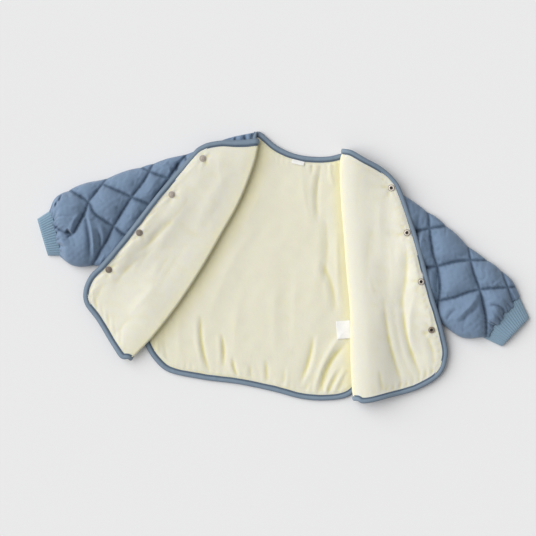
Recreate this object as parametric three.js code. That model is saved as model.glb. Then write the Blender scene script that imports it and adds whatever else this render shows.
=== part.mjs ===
// A small child's quilted jacket, laid open on its back, both fronts folded outward over the sleeves.
// Millimetres. +X runs along the spread sleeves, +Y towards the neck, +Z up; the back lies on z = 0.
// Left and right in the names are the wearer's own, so the right front lies at -X.

import * as THREE from 'three';

const { clamp, degToRad, lerp, smoothstep } = THREE.MathUtils;

// Cloth thicknesses
const PANEL_THICKNESS = 5; // shell, wadding and lining together
const BOUND_THICKNESS = 2.8; // pressed flat under the binding
const QUILT_LOFT_PANEL = 1.4; // how far a panel's quilted squares stand out
const QUILT_LOFT_SLEEVE = 5;
const QUILT_ROUNDNESS = 0.75; // below 1, squares are full and the stitched valleys narrow
const SEAM_GAP = 0.4; // clearance between neighbouring pieces
const DEEPEST_TROUGH = 1; // that a soft fold presses into the back

// Bias binding
const BINDING_WIDTH = 7.5;
const BINDING_WALL = 0.8;
const BINDING_GAP = 0.35;
const BOUND_BAND = 9; // width of the pressed edge
const WIDEST_BINDING_SHARE = 0.85; // of the pressed edge, where that is narrow
const BINDING_STANDS_OFF = BINDING_WALL + BINDING_GAP;
const BINDING_EDGE_ROUNDING = 0.2;
const BINDING_EDGE_INSET = 0.3; // of its flat outer edge, from either face of the cloth

// Heights of the layers
const BACK_EDGE_BOTTOM = BINDING_STANDS_OFF + 0.1;
const UNDER_FOLD_MIDDLE = 8.2; // middle of the hidden part of a front, lying on the back
const UNDER_FOLD_TOP = UNDER_FOLD_MIDDLE + PANEL_THICKNESS / 2;
const LAYER_GAP = 0.9;

// Snaps and labels
const SNAP_RADIUS = 5;
const SNAP_SEGMENTS = 16;
const SNAP_LIFT = 0.45;
const LABEL_LIFT = 0.5;
const LABEL_CELLS = 4;

// Sleeves
const SLEEVE_SIDE_SHARE = 0.3; // height of a sleeve's sides, as a share of its middle
const DOME_FULLNESS = 2.6; // above 2, a cross-section is flatter on top and rounder at its sides
const QUILTED_ALONG = { from: 0.02, full: 0.3, fading: 0.94 };
const GATHERED_ALONG = { from: 0.86, full: 0.98 };
const EVEN_SPACING = 0.45; // of the points across a sleeve; the rest of the spacing crowds to its sides
const UNDERSIDE_TUCK = 4; // how far the flat underside lies in from the sides

// Ribbed cuffs
const CUFF_HEIGHT = 10;
const CUFF_WALL = 3.2;
const CUFF_RIBS = 18;
const RIB_DEPTH = 0.8;
const CUFF_SIDE_SHARE = 0.35; // height of a cuff's sides, as a share of its middle
const CUFF_UNDERSIDE = [0.94, 0.5, 0.06]; // shares of the way across
const CUFF_SIDE_WALL = 5;
const CUFF_HOLLOW_AROUND = 8;

// Sleeve hollow
const HOLLOW_FLOOR = 4.8;
const HOLLOW_FLOOR_AT_CUFF = 3.8;
const HOLLOW_AT_CUFF_FROM = 0.9; // share of the sleeve's length
const HOLLOW_HEIGHT = 3.4;
const HOLLOW_HEIGHT_AT_SEAM = 0.7;
const HOLLOW_FULL_FROM = 0.7; // share of the sleeve's length
const HOLLOW_SIDE_WALL = 8;

const CLOTH_ROUGHNESS = 0.85;
const METAL_ROUGHNESS = 0.35;

const COLOURS = {
  quilt: 0x6d8aa6,
  binding: 0x788b99,
  cuff: 0x7a94ad,
  lining: 0xece6cd,
  label: 0xeeedea,
  nickel: 0xb6b3a6,
  bronze: 0x7f7768,
};

function table(columns, rows) {
  return rows.map((row) => Object.fromEntries(columns.map((name, k) => [name, row[k]])));
}

// Outlines that snaps are turned from
const SOCKET_OUTLINE = table(['radius', 'height'], [
  [2, 0], [5, 0], [5, 0.5], [4.3, 1.4], [2.8, 1.4], [2, 0.9], [2, 0],
]);
const STUD_OUTLINE = table(['radius', 'height'], [
  [0, 0], [5, 0], [5, 0.5], [4.3, 1.1], [2.6, 0.9], [2, 2.1], [1.4, 2.5], [0, 2.6],
]);

// Numbers of cells in each piece, and the lengths that their narrow bound cells are shares of
const BACK_LENGTH = 360;
const FRONT_LENGTH = 340;
const FLAP_WIDTH = 130;
const BACK_CELLS = { across: 18 };
const FRONT_CELLS = { under: 3, fold: 6, flap: 12 };
const SIDE_CELLS = { raglan: 10, side: 10 };
const SLEEVE_CELLS = { along: 30, top: 26, bottom: 6, hollowAlong: 8, hollowAround: 12 };

// Outlines of the pieces, seen from above

const BACK_NECK = table(['x', 'y'], [
  [-33, 202], [-22, 193], [-9, 182], [14, 170.5], [38, 165], [70, 164.5], [97, 171],
]);
const BACK_HEM = table(['x', 'y'], [
  [-212, -92], [-202, -120], [-189, -140], [-172, -155], [-122, -167], [-62, -175], [-10, -186],
  [30, -196.5], [65, -199], [98, -194], [118, -178],
]);

const FRONTS = {
  right: {
    side: -1,
    foldRadius: 4,
    hemBoundFrom: FRONT_CELLS.under,
    neckBoundFrom: 0,
    neck: table(['x', 'y'], [[-62, 188.5], [-89, 188], [-112, 184], [-126, 177]]),
    edge: table(['x', 'y'], [
      [-126, 177], [-139, 162], [-181, 113], [-241, 36], [-271, 1.5], [-285, -12], [-294, -30], [-296, -44],
    ]),
    hem: table(['x', 'y'], [
      [-296, -44], [-293, -56], [-276, -79], [-256, -112], [-247, -127], [-239, -136],
    ]),
    fold: table(['x', 'y'], [
      [-33, 190], [-40, 158], [-62, 100], [-89, 51], [-122, -6], [-155, -56], [-194, -106], [-213, -126],
      [-226, -138],
    ]),
  },
  left: {
    side: 1,
    foldRadius: 6.5,
    hemBoundFrom: 0,
    neckBoundFrom: FRONT_CELLS.under,
    neck: table(['x', 'y'], [[103, 174], [124, 162], [146, 150.5], [161, 139]]),
    edge: table(['x', 'y'], [
      [161, 139], [174, 123], [189, 83], [205, 33], [224, -38], [243, -102], [248, -128], [245, -147],
    ]),
    hem: table(['x', 'y'], [
      [245, -147], [239, -159], [227, -170], [200, -184], [155, -196], [132, -201.5], [119, -201],
    ]),
    fold: table(['x', 'y'], [
      [90, 176], [87, 153], [88, 110], [93, 45], [97, -10], [102, -64], [103, -140], [106, -196],
    ]),
  },
};

// Where each sleeve and side is sewn to the back
const SEAMS = {
  right: { neck: { x: -37, y: 202 }, underarm: { x: -164, y: 50 }, hem: { x: -212, y: -92 } },
  left: { neck: { x: 98, y: 171 }, underarm: { x: 143, y: 8 }, hem: { x: 118, y: -178 } },
};
const UNDERARM_SHARE = 0.52; // how far down the sides the underarm point lies

const SLEEVES = {
  right: {
    top: table(['x', 'y'], [
      [-80, 193], [-137, 171], [-200, 153], [-272, 130], [-314, 117], [-336, 103], [-344.5, 86],
    ]),
    bottom: table(['x', 'y'], [[-205, 24], [-250, 6], [-285, 1.5], [-310, 4], [-329, 17]]),
    heights: table(['along', 'height'], [
      [0, 10.4], [0.12, 11], [0.35, 13], [0.55, 17], [0.75, 20], [0.9, 20], [1, 13],
    ]),
    quilt: table(['x', 'y', 'across', 'pitch'], [[-226, 102, 240.6, 49], [-226, 102, 147.3, 47.5]]),
    folds: table(['x0', 'y0', 'x1', 'y1', 'width', 'height'], [
      [-296, 84, -312, 40, 9, 5], [-283, 66, -290, 22, 8, -5], [-318, 52, -306, 58, 6, -4],
      [-262, 40, -276, 12, 8, 3], [-320, 100, -300, 92, 7, 2.5], [-215, 148, -250, 132, 8, 2],
      [-96, 196, -66, 176, 5, 2], [-74, 200, -48, 182, 4, 2],
    ]),
    cuff: { top: { x: -366, y: 72 }, bottom: { x: -350, y: 17 } },
  },
  left: {
    top: table(['x', 'y'], [[130, 148], [184, 106], [238, 69], [287, 25], [322, 1], [345, -21], [355, -42]]),
    bottom: table(['x', 'y'], [[172, -24], [215, -64], [245, -87], [271, -104], [303, -106]]),
    heights: table(['along', 'height'], [
      [0, 10.4], [0.12, 10.8], [0.35, 12], [0.55, 14.5], [0.75, 17], [0.9, 17], [1, 12.5],
    ]),
    quilt: table(['x', 'y', 'across', 'pitch'], [[235, -4, 11.5, 51], [283, 10, 95.7, 46]]),
    folds: table(['x0', 'y0', 'x1', 'y1', 'width', 'height'], [
      [298, -36, 268, -76, 8, 4], [236, 14, 236, -60, 7, -3], [214, 80, 206, 20, 8, 2.5],
      [316, -52, 336, -64, 5, 2.5], [330, -20, 312, -34, 6, 2],
    ]),
    cuff: { top: { x: 371, y: -76 }, bottom: { x: 330, y: -119 } },
  },
};
// Lines stitched in the body panels, at 45 degrees to the garment's length
const BODY_QUILT = table(['x', 'y', 'across', 'pitch'], [[0, 0, 32.5, 48], [0, 0, 122.5, 48]]);
const GATHERS_PER_SLEEVE = 8;
const GATHER_DEPTH = 1.1;

// Soft folds of the lining: a ridge or trough from one point to another
const BACK_FOLDS = table(['x0', 'y0', 'x1', 'y1', 'width', 'height'], [
  [62, 130, 52, 62, 7, 1.6], [-121, -20, -121, -190, 6, 1.5], [-91, -140, -91, -200, 5, 1.6],
  [-73, -150, -73, -196, 5, 1.4], [-24, -150, -22, -210, 5, 1.6], [48, -112, 28, -160, 7, 2],
  [96, -112, 72, -170, 9, 3.4], [72, -150, 50, -215, 5, 2.4], [84, -165, 66, -215, 5, 2.2],
  [10, 120, -20, -20, 10, 1.2],
]);
const FRONT_FOLDS = {
  right: table(['x0', 'y0', 'x1', 'y1', 'width', 'height'], [
    [-137, 118, -197, 24, 9, 1.8], [-197, 24, -264, -36, 9, 1.6], [-90, 130, -120, 60, 9, 1.4],
    [-160, -20, -205, -80, 10, 1.6],
  ]),
  left: table(['x0', 'y0', 'x1', 'y1', 'width', 'height'], [
    [178, 0, 180, -90, 6, 2], [152, -70, 170, -150, 6, 2], [190, -110, 208, -165, 6, 2.2],
    [196, -30, 200, -110, 6, 1.6], [128, 90, 124, -40, 8, 1.2],
  ]),
};

const SNAPS = {
  right: table(['x', 'y', 'metal'], [
    [-118, 162, 'nickel'], [-164, 108, 'nickel'], [-212, 51, 'bronze'], [-258, -4, 'bronze'],
  ]),
  left: table(['x', 'y', 'metal'], [
    [164, 118, 'nickel'], [187, 51, 'nickel'], [208, -22, 'nickel'], [224, -94, 'bronze'],
  ]),
};

const SIDE_LABEL = { x: 93, y: -94, width: 22, length: 28, thickness: 0.6 };
const NECK_LABEL = { x: 25, y: 154, width: 20, length: 8, thickness: 0.6 };

// Curves and tables

function flat(point, z = 0) {
  return new THREE.Vector3(point.x, point.y, z);
}

function curveThrough(rows) {
  const path = new THREE.CatmullRomCurve3(rows.map((row) => flat(row)), false, 'centripetal');
  path.arcLengthDivisions = 300;
  return (share) => path.getPointAt(clamp(share, 0, 1));
}

function readTable(rows, along, column) {
  const next = Math.max(1, rows.findIndex((row) => row.along >= along));
  const from = rows[next - 1];
  const to = rows[next];
  const share = (along - from.along) / (to.along - from.along);
  const eased = (1 - Math.cos(Math.PI * share)) / 2;
  return lerp(from[column], to[column], eased);
}

function sideCurve(seam) {
  const [neck, underarm, hem] = [flat(seam.neck), flat(seam.underarm), flat(seam.hem)];
  return (share) => (share < UNDERARM_SHARE
    ? neck.clone().lerp(underarm, share / UNDERARM_SHARE)
    : underarm.clone().lerp(hem, (share - UNDERARM_SHARE) / (1 - UNDERARM_SHARE)));
}

// A patch between four sides: start and end run from neck to hem, neck and hem run from start to end.
function patchPoint(sides, across, down) {
  const neck = sides.neck(across);
  const hem = sides.hem(across);
  const point = sides.start(down).multiplyScalar(1 - across).addScaledVector(sides.end(down), across);
  point.addScaledVector(neck, 1 - down).addScaledVector(hem, down);
  point.addScaledVector(sides.neck(0), -(1 - across) * (1 - down));
  point.addScaledVector(sides.neck(1), -across * (1 - down));
  point.addScaledVector(sides.hem(0), -(1 - across) * down);
  point.addScaledVector(sides.hem(1), -across * down);
  return point;
}

// Shares from 0 to 1 in even cells, with a narrow first or last cell where an edge is bound.
function cellShares(cells, firstBand, lastBand) {
  const start = firstBand ? 1 : 0;
  const inner = cells - start - (lastBand ? 1 : 0);
  const shares = firstBand ? [0] : [];
  for (let k = 0; k <= inner; k += 1) {
    shares.push(firstBand + (1 - firstBand - lastBand) * k / inner);
  }
  if (lastBand) {
    shares.push(1);
  }
  return shares;
}

function downShares(length) {
  const band = BOUND_BAND / length;
  const raglan = cellShares(SIDE_CELLS.raglan, band / UNDERARM_SHARE, 0).map((s) => s * UNDERARM_SHARE);
  const side = cellShares(SIDE_CELLS.side, 0, band / (1 - UNDERARM_SHARE));
  return raglan.concat(side.slice(1).map((s) => UNDERARM_SHARE + s * (1 - UNDERARM_SHARE)));
}

// The first two and last two rows of a sheet hold its pressed, bound edge
function isBound(row, rows) {
  return row < 2 || row > rows - 3;
}

function foldHeight(folds, x, y) {
  let height = 0;
  for (const fold of folds) {
    const run = new THREE.Vector2(fold.x1 - fold.x0, fold.y1 - fold.y0);
    const reach = new THREE.Vector2(x - fold.x0, y - fold.y0);
    const along = clamp(reach.dot(run) / run.lengthSq(), 0, 1);
    const distance = reach.addScaledVector(run, -along).length();
    height += fold.height * Math.sin(Math.PI * along) * Math.exp(-((distance / fold.width) ** 2));
  }
  return height;
}

// 0 on a stitched line, 1 in the middle of a quilted square
function quiltPuff(quilt, x, y) {
  let share = 1;
  for (const lines of quilt) {
    const angle = degToRad(lines.across);
    const phase = ((x - lines.x) * Math.cos(angle) + (y - lines.y) * Math.sin(angle)) / lines.pitch;
    share *= Math.abs(Math.sin(Math.PI * phase));
  }
  return share ** QUILT_ROUNDNESS;
}

// Sleeves: a run of chords from the top edge to the bottom edge, each with its own height

function sleeveShape(name) {
  const sleeve = SLEEVES[name];
  const seam = SEAMS[name];
  const outward = new THREE.Vector3(seam.neck.y - seam.underarm.y, seam.underarm.x - seam.neck.x, 0);
  outward.normalize().multiplyScalar(FRONTS[name].side * SEAM_GAP);
  const start = flat(seam.neck).add(outward);
  const end = flat(seam.underarm).add(outward);
  const top = curveThrough([start, ...sleeve.top]);
  const bottom = curveThrough([end, ...sleeve.bottom]);
  return { ...sleeve, topEdge: top, bottomEdge: bottom };
}

function domeShare(across) {
  return Math.sqrt(1 - Math.abs(2 * across - 1) ** DOME_FULLNESS);
}

function sleeveTopHeight(sleeve, along, across) {
  const height = readTable(sleeve.heights, along, 'height');
  const side = SLEEVE_SIDE_SHARE * height;
  const point = sleeve.topEdge(along).lerp(sleeve.bottomEdge(along), across);
  const dome = domeShare(across);
  const { from, full, fading } = QUILTED_ALONG;
  const free = smoothstep(along, from, full) * (1 - smoothstep(along, fading, 1));
  const puff = QUILT_LOFT_SLEEVE * quiltPuff(sleeve.quilt, point.x, point.y);
  const fold = foldHeight(sleeve.folds, point.x, point.y);
  const gathered = smoothstep(along, GATHERED_ALONG.from, GATHERED_ALONG.full);
  const gather = GATHER_DEPTH * gathered * Math.cos(2 * Math.PI * GATHERS_PER_SLEEVE * across);
  return side + (height - side) * dome + dome * (free * (puff + fold) + gather);
}

function sleeveTopAt(sleeve, x, y) {
  const steps = 60;
  let before = null;
  for (let k = 0; k <= steps; k += 1) {
    const from = sleeve.topEdge(k / steps);
    const chord = sleeve.bottomEdge(k / steps).sub(from);
    const reach = new THREE.Vector3(x, y, 0).sub(from);
    const side = chord.x * reach.y - chord.y * reach.x;
    const across = reach.dot(chord) / chord.lengthSq();
    if (before !== null && side * before < 0) {
      return across < 0 || across > 1 ? 0 : sleeveTopHeight(sleeve, k / steps, across);
    }
    before = side;
  }
  return 0;
}

// Meshes

function meshFrom(name, points, faces, colour) {
  const geometry = new THREE.BufferGeometry();
  const coordinates = points.flatMap((point) => point.toArray());
  geometry.setAttribute('position', new THREE.Float32BufferAttribute(coordinates, 3));
  geometry.setIndex(faces.flat());
  geometry.computeVertexNormals();
  const material = new THREE.MeshStandardMaterial({ color: colour, roughness: CLOTH_ROUGHNESS });
  const mesh = new THREE.Mesh(geometry, material);
  mesh.name = name;
  return mesh;
}

// The two halves of a four-sided face, split along its shorter diagonal
function halves(points, a, b, c, d) {
  const shorter = points[a].distanceToSquared(points[c]) <= points[b].distanceToSquared(points[d]);
  return shorter ? [[a, b, c], [a, c, d]] : [[a, b, d], [b, c, d]];
}

// A closed sheet between an upper and a lower grid of points, with walls round its edges
function sheetMesh(name, upper, lower, colour, turned) {
  const columns = upper.length;
  const rows = upper[0].length;
  const points = [...upper.flat(), ...lower.flat()];
  const offset = columns * rows;
  const at = (i, j) => i * rows + j;
  const faces = [];
  const add = (a, b, c) => faces.push(turned ? [a, c, b] : [a, b, c]);
  for (let i = 0; i < columns - 1; i += 1) {
    for (let j = 0; j < rows - 1; j += 1) {
      const corners = [at(i, j), at(i + 1, j), at(i + 1, j + 1), at(i, j + 1)];
      halves(points, ...corners).forEach(([p, q, r]) => add(p, q, r));
      halves(points, ...corners.map((corner) => corner + offset)).forEach(([p, q, r]) => add(p, r, q));
    }
  }
  const wall = (a, b) => {
    add(b, a, a + offset);
    add(b, a + offset, b + offset);
  };
  for (let i = 0; i < columns - 1; i += 1) {
    wall(at(i, 0), at(i + 1, 0));
    wall(at(i + 1, rows - 1), at(i, rows - 1));
  }
  for (let j = 0; j < rows - 1; j += 1) {
    wall(at(0, j + 1), at(0, j));
    wall(at(columns - 1, j), at(columns - 1, j + 1));
  }
  return meshFrom(name, points, faces, colour);
}

// A closed bar: the same number of section points at each station, capped at both ends.
function barMesh(name, stations, colour, caps) {
  const count = stations[0].length;
  const points = stations.flat();
  const faces = [];
  for (let k = 0; k < stations.length - 1; k += 1) {
    for (let m = 0; m < count; m += 1) {
      const [a, b] = [k * count + m, k * count + (m + 1) % count];
      faces.push(...halves(points, a, b, b + count, a + count));
    }
  }
  const last = (stations.length - 1) * count;
  for (const [p, q, r] of caps) {
    faces.push([p, r, q], [last + p, last + q, last + r]);
  }
  return meshFrom(name, points, faces, colour);
}

// An open-ended tube wall between outer and inner rings, which may have different numbers of points.
function tubeMesh(name, outer, inner, colour, turned) {
  const points = [...outer.flat(), ...inner.flat()];
  const outerCount = outer[0].length;
  const innerCount = inner[0].length;
  const innerStart = outer.length * outerCount;
  const faces = [];
  const add = (a, b, c) => faces.push(turned ? [a, c, b] : [a, b, c]);
  const skin = (rings, count, start, outside) => {
    for (let k = 0; k < rings - 1; k += 1) {
      for (let m = 0; m < count; m += 1) {
        const a = start + k * count + m;
        const b = start + k * count + (m + 1) % count;
        if (outside) {
          add(a, a + count, b + count);
          add(a, b + count, b);
        } else {
          add(a, b + count, a + count);
          add(a, b, b + count);
        }
      }
    }
  };
  const cap = (outerFirst, innerFirst, atStart) => {
    let o = 0;
    let n = 0;
    while (o < outerCount || n < innerCount) {
      const a = outerFirst + o % outerCount;
      const b = innerFirst + n % innerCount;
      let third = innerFirst + (n + 1) % innerCount;
      if ((o + 0.5) / outerCount <= (n + 0.5) / innerCount && o < outerCount) {
        o += 1;
        third = outerFirst + o % outerCount;
      } else {
        n += 1;
      }
      if (atStart) {
        add(a, third, b);
      } else {
        add(a, b, third);
      }
    }
  };
  skin(outer.length, outerCount, 0, true);
  skin(inner.length, innerCount, innerStart, false);
  cap(0, innerStart, true);
  cap((outer.length - 1) * outerCount, innerStart + (inner.length - 1) * innerCount, false);
  return meshFrom(name, points, faces, colour);
}

// Back

function backGrid() {
  const sides = {
    start: sideCurve(SEAMS.right),
    end: sideCurve(SEAMS.left),
    neck: curveThrough([SEAMS.right.neck, ...BACK_NECK, SEAMS.left.neck]),
    hem: curveThrough(BACK_HEM),
  };
  const shares = cellShares(BACK_CELLS.across, 0, 0);
  const downs = downShares(BACK_LENGTH);
  const upper = [];
  const lower = [];
  shares.forEach((across, i) => {
    upper.push([]);
    lower.push([]);
    downs.forEach((down, j) => {
      const point = patchPoint(sides, across, down);
      const bound = isBound(j, downs.length);
      const bottom = bound ? BACK_EDGE_BOTTOM : 0;
      const clearOfSeams = Math.sqrt(Math.sin(Math.PI * across));
      const clearOfEnds = Math.min(1, 4 * down, 4 * (1 - down));
      const crease = foldHeight(BACK_FOLDS, point.x, point.y) * clearOfSeams * clearOfEnds;
      const thickness = bound ? BOUND_THICKNESS : PANEL_THICKNESS;
      const top = bottom + thickness + Math.max(crease, -DEEPEST_TROUGH);
      lower[i].push(new THREE.Vector3(point.x, point.y, bottom));
      upper[i].push(new THREE.Vector3(point.x, point.y, top));
    });
  });
  return { lining: upper, shell: lower };
}

// Fronts: the hidden part on the back, the turn of the fold, and the flap that lies outward

function offsetFold(fold, distance, side) {
  return (share) => {
    const step = 0.01;
    const ahead = fold(Math.min(share + step, 1)).sub(fold(Math.max(share - step, 0))).normalize();
    const outward = new THREE.Vector3(side * ahead.y, -side * ahead.x, 0);
    return { centre: fold(share).addScaledVector(outward, -distance), outward };
  };
}

function insideOutline(outline, x, y) {
  let inside = false;
  outline.forEach((a, k) => {
    const b = outline[(k + 1) % outline.length];
    if ((a.y > y) !== (b.y > y) && x < a.x + (b.x - a.x) * (y - a.y) / (b.y - a.y)) {
      inside = !inside;
    }
  });
  return inside;
}

const SUPPORT_REACHES = [0, 6, 11];
const SUPPORT_TURNS = 8;

// Height of whatever lies under the flap near a point, the highest within the reach of one cell
function supportUnder(outline, sleeve, point) {
  let highest = 0;
  for (const reach of SUPPORT_REACHES) {
    for (let turn = 0; turn < SUPPORT_TURNS; turn += 1) {
      const angle = 2 * Math.PI * turn / SUPPORT_TURNS;
      const x = point.x + reach * Math.cos(angle);
      const y = point.y + reach * Math.sin(angle);
      const body = insideOutline(outline, x, y) ? UNDER_FOLD_TOP : 0;
      highest = Math.max(highest, body, sleeveTopAt(sleeve, x, y));
    }
  }
  return highest;
}

const DRAPE_PASSES = 500;
const STEEPEST_FALL = 0.45; // the padded cloth never falls away faster than this, height over length
const DRAPE_SAG = 0.0035; // how readily the padded cloth curves down, per millimetre

function neighbours(points, i, j) {
  return [[1, 0], [-1, 0], [0, 1], [0, -1]]
    .map(([di, dj]) => points[i + di]?.[j + dj])
    .filter((near) => near !== undefined);
}

// Lets the flap settle on its supports: each point hangs a little below the mean of its neighbours.
function settleFlap(points, floorHeights) {
  const columns = points.length;
  const rows = points[0].length;
  for (let pass = 0; pass < DRAPE_PASSES; pass += 1) {
    for (let i = 1; i < columns; i += 1) {
      for (let j = 0; j < rows; j += 1) {
        const here = points[i][j];
        let sum = 0;
        let weights = 0;
        let span = 0;
        let highest = 0;
        for (const near of neighbours(points, i, j)) {
          const distance = Math.hypot(near.x - here.x, near.y - here.y);
          sum += near.z / distance;
          weights += 1 / distance;
          span += distance / 4;
          highest = Math.max(highest, near.z - STEEPEST_FALL * distance);
        }
        here.z = Math.max(floorHeights[i][j], highest, sum / weights - DRAPE_SAG * span * span / 4);
      }
    }
  }
}

function frontGrid(name, sleeve) {
  const { side, foldRadius, neck, edge, hem, fold } = FRONTS[name];
  const seam = sideCurve(SEAMS[name]);
  const turnAt = offsetFold(curveThrough(fold), foldRadius + PANEL_THICKNESS / 2, side);
  const turnCentre = (share) => turnAt(share).centre;
  const straight = (a, b) => (share) => a.clone().lerp(b, share);
  const under = {
    start: seam,
    end: turnCentre,
    neck: straight(seam(0), turnCentre(0)),
    hem: straight(seam(1), turnCentre(1)),
  };
  const flap = {
    start: turnCentre,
    end: curveThrough(edge),
    neck: curveThrough([turnCentre(0), ...neck]),
    hem: curveThrough([turnCentre(1), ...hem.toReversed()]),
  };
  const downs = downShares(FRONT_LENGTH);
  const middle = [];
  for (const across of cellShares(FRONT_CELLS.under, 0, 0)) {
    middle.push(downs.map((down) => patchPoint(under, across, down).setZ(UNDER_FOLD_MIDDLE)));
  }
  for (let k = 1; k < FRONT_CELLS.fold; k += 1) {
    const angle = Math.PI * k / FRONT_CELLS.fold;
    middle.push(downs.map((down) => {
      const { centre, outward } = turnAt(down);
      centre.addScaledVector(outward, foldRadius * Math.sin(angle));
      return centre.setZ(UNDER_FOLD_MIDDLE + foldRadius * (1 - Math.cos(angle)));
    }));
  }
  const flapStart = middle.length;
  const bodyOutline = [
    ...downs.map((down) => seam(down)),
    ...downs.map((down) => turnAt(down).centre).reverse(),
  ];
  const foldTop = UNDER_FOLD_MIDDLE + 2 * foldRadius;
  const flapPoints = cellShares(FRONT_CELLS.flap, 0, BOUND_BAND / FLAP_WIDTH).map((across) => (
    downs.map((down) => patchPoint(flap, across, down).setZ(foldTop))));
  const floors = flapPoints.map((column, i) => column.map((point, j) => {
    const bound = isBound(j, downs.length) || i > flapPoints.length - 3;
    const quilted = QUILT_LOFT_PANEL * flapLoft(i);
    const below = bound ? BOUND_THICKNESS / 2 + BINDING_STANDS_OFF : PANEL_THICKNESS / 2 + quilted;
    const lifted = Math.max(0, foldHeight(FRONT_FOLDS[name], point.x, point.y));
    return supportUnder(bodyOutline, sleeve, point) + LAYER_GAP + below + lifted;
  }));
  settleFlap(flapPoints, floors);
  middle.push(...flapPoints);
  return { ...cloth(middle, name, flapStart), flapStart, downs };
}

// The squares rise over three columns, from the second one of the flap
function flapLoft(column) {
  return clamp((column - 1) / 3, 0, 1);
}

// The lining's and the shell's points on either side of the middle of a front
function cloth(middle, name, flapStart) {
  const side = FRONTS[name].side;
  const columns = middle.length;
  const rows = middle[0].length;
  const lining = [];
  const shell = [];
  for (let i = 0; i < columns; i += 1) {
    lining.push([]);
    shell.push([]);
    for (let j = 0; j < rows; j += 1) {
      const here = middle[i][j];
      const across = middle[Math.min(i + 1, columns - 1)][j].clone().sub(middle[Math.max(i - 1, 0)][j]);
      const down = middle[i][Math.min(j + 1, rows - 1)].clone().sub(middle[i][Math.max(j - 1, 0)]);
      const normal = across.cross(down).multiplyScalar(-side).normalize();
      const bound = isBound(j, rows) || i > columns - 3;
      const half = (bound ? BOUND_THICKNESS : PANEL_THICKNESS) / 2;
      const loft = bound || i < flapStart ? 0 : flapLoft(i - flapStart) * QUILT_LOFT_PANEL;
      const puff = loft * quiltPuff(BODY_QUILT, here.x, here.y);
      lining[i].push(here.clone().addScaledVector(normal, half));
      shell[i].push(here.clone().addScaledVector(normal, -half - puff));
    }
  }
  return { lining, shell };
}

// Bias binding folded round the edge of a sheet, from its own edge points and the row behind them

function bindingStations(sheet, route) {
  return route.map(({ edge, behind }, k) => {
    const lining = sheet.lining[edge[0]][edge[1]];
    const shell = sheet.shell[edge[0]][edge[1]];
    const liningBehind = sheet.lining[behind[0]][behind[1]];
    const shellBehind = sheet.shell[behind[0]][behind[1]];
    const before = route[Math.max(k - 1, 0)].edge;
    const after = route[Math.min(k + 1, route.length - 1)].edge;
    const run = sheet.lining[after[0]][after[1]].clone().sub(sheet.lining[before[0]][before[1]]).normalize();
    const inward = liningBehind.clone().sub(lining);
    const square = inward.clone().addScaledVector(run, -inward.dot(run));
    const share = Math.min(BINDING_WIDTH / square.length(), WIDEST_BINDING_SHARE);
    const outward = square.clone().normalize().negate();
    const up = lining.clone().sub(shell).normalize();
    const place = (base, rise, out) => base.clone().addScaledVector(up, rise).addScaledVector(outward, out);
    const liningTip = lining.clone().lerp(liningBehind, share);
    const shellTip = shell.clone().lerp(shellBehind, share);
    const outer = BINDING_STANDS_OFF;
    const rounding = BINDING_EDGE_ROUNDING;
    const inset = BINDING_EDGE_INSET;
    return [
      place(liningTip, outer, 0), place(lining, outer, rounding), place(lining, inset, outer),
      place(shell, -inset, outer), place(shell, -outer, rounding), place(shellTip, -outer, 0),
      place(shellTip, -BINDING_GAP, 0), place(shell, -BINDING_GAP, BINDING_GAP),
      place(lining, BINDING_GAP, BINDING_GAP), place(liningTip, BINDING_GAP, 0),
    ];
  });
}

const BINDING_CAPS = [[0, 1, 8], [0, 8, 9], [1, 2, 8], [2, 3, 8], [3, 7, 8], [3, 4, 7], [4, 5, 7], [5, 6, 7]];

function bindingMesh(name, sheet, route, turned) {
  const stations = bindingStations(sheet, turned ? route.toReversed() : route);
  return barMesh(name, stations, COLOURS.binding, BINDING_CAPS);
}

function rowRoute(columns, row, rowBehind, first) {
  const route = [];
  for (let i = first; i < columns; i += 1) {
    route.push({ edge: [i, row], behind: [i, rowBehind] });
  }
  return route;
}

function frontRoute(columns, rows, hemFirst, neckFirst) {
  const hem = rowRoute(columns, rows - 1, rows - 2, hemFirst).slice(0, -1);
  const neck = rowRoute(columns, 0, 1, neckFirst).slice(0, -1).reverse();
  const edge = [];
  for (let j = rows - 2; j > 0; j -= 1) {
    edge.push({ edge: [columns - 1, j], behind: [columns - 2, j] });
  }
  const hemCorner = { edge: [columns - 1, rows - 1], behind: [columns - 2, rows - 2] };
  const neckCorner = { edge: [columns - 1, 0], behind: [columns - 2, 1] };
  return [...hem, hemCorner, ...edge, neckCorner, ...neck];
}

// Sleeves and cuffs

function sleeveRing(sleeve, along) {
  const from = sleeve.topEdge(along);
  const to = sleeve.bottomEdge(along);
  const side = SLEEVE_SIDE_SHARE * readTable(sleeve.heights, along, 'height');
  const tuck = UNDERSIDE_TUCK / from.distanceTo(to);
  const ring = [];
  for (let k = 0; k <= SLEEVE_CELLS.top; k += 1) {
    const even = k / SLEEVE_CELLS.top;
    const across = lerp((1 - Math.cos(Math.PI * even)) / 2, even, EVEN_SPACING);
    const height = k === 0 || k === SLEEVE_CELLS.top ? side : sleeveTopHeight(sleeve, along, across);
    ring.push(from.clone().lerp(to, across).setZ(height));
  }
  for (let k = 0; k < SLEEVE_CELLS.bottom; k += 1) {
    const across = 1 - tuck - (1 - 2 * tuck) * k / (SLEEVE_CELLS.bottom - 1);
    ring.push(from.clone().lerp(to, across).setZ(0));
  }
  return ring;
}

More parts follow.
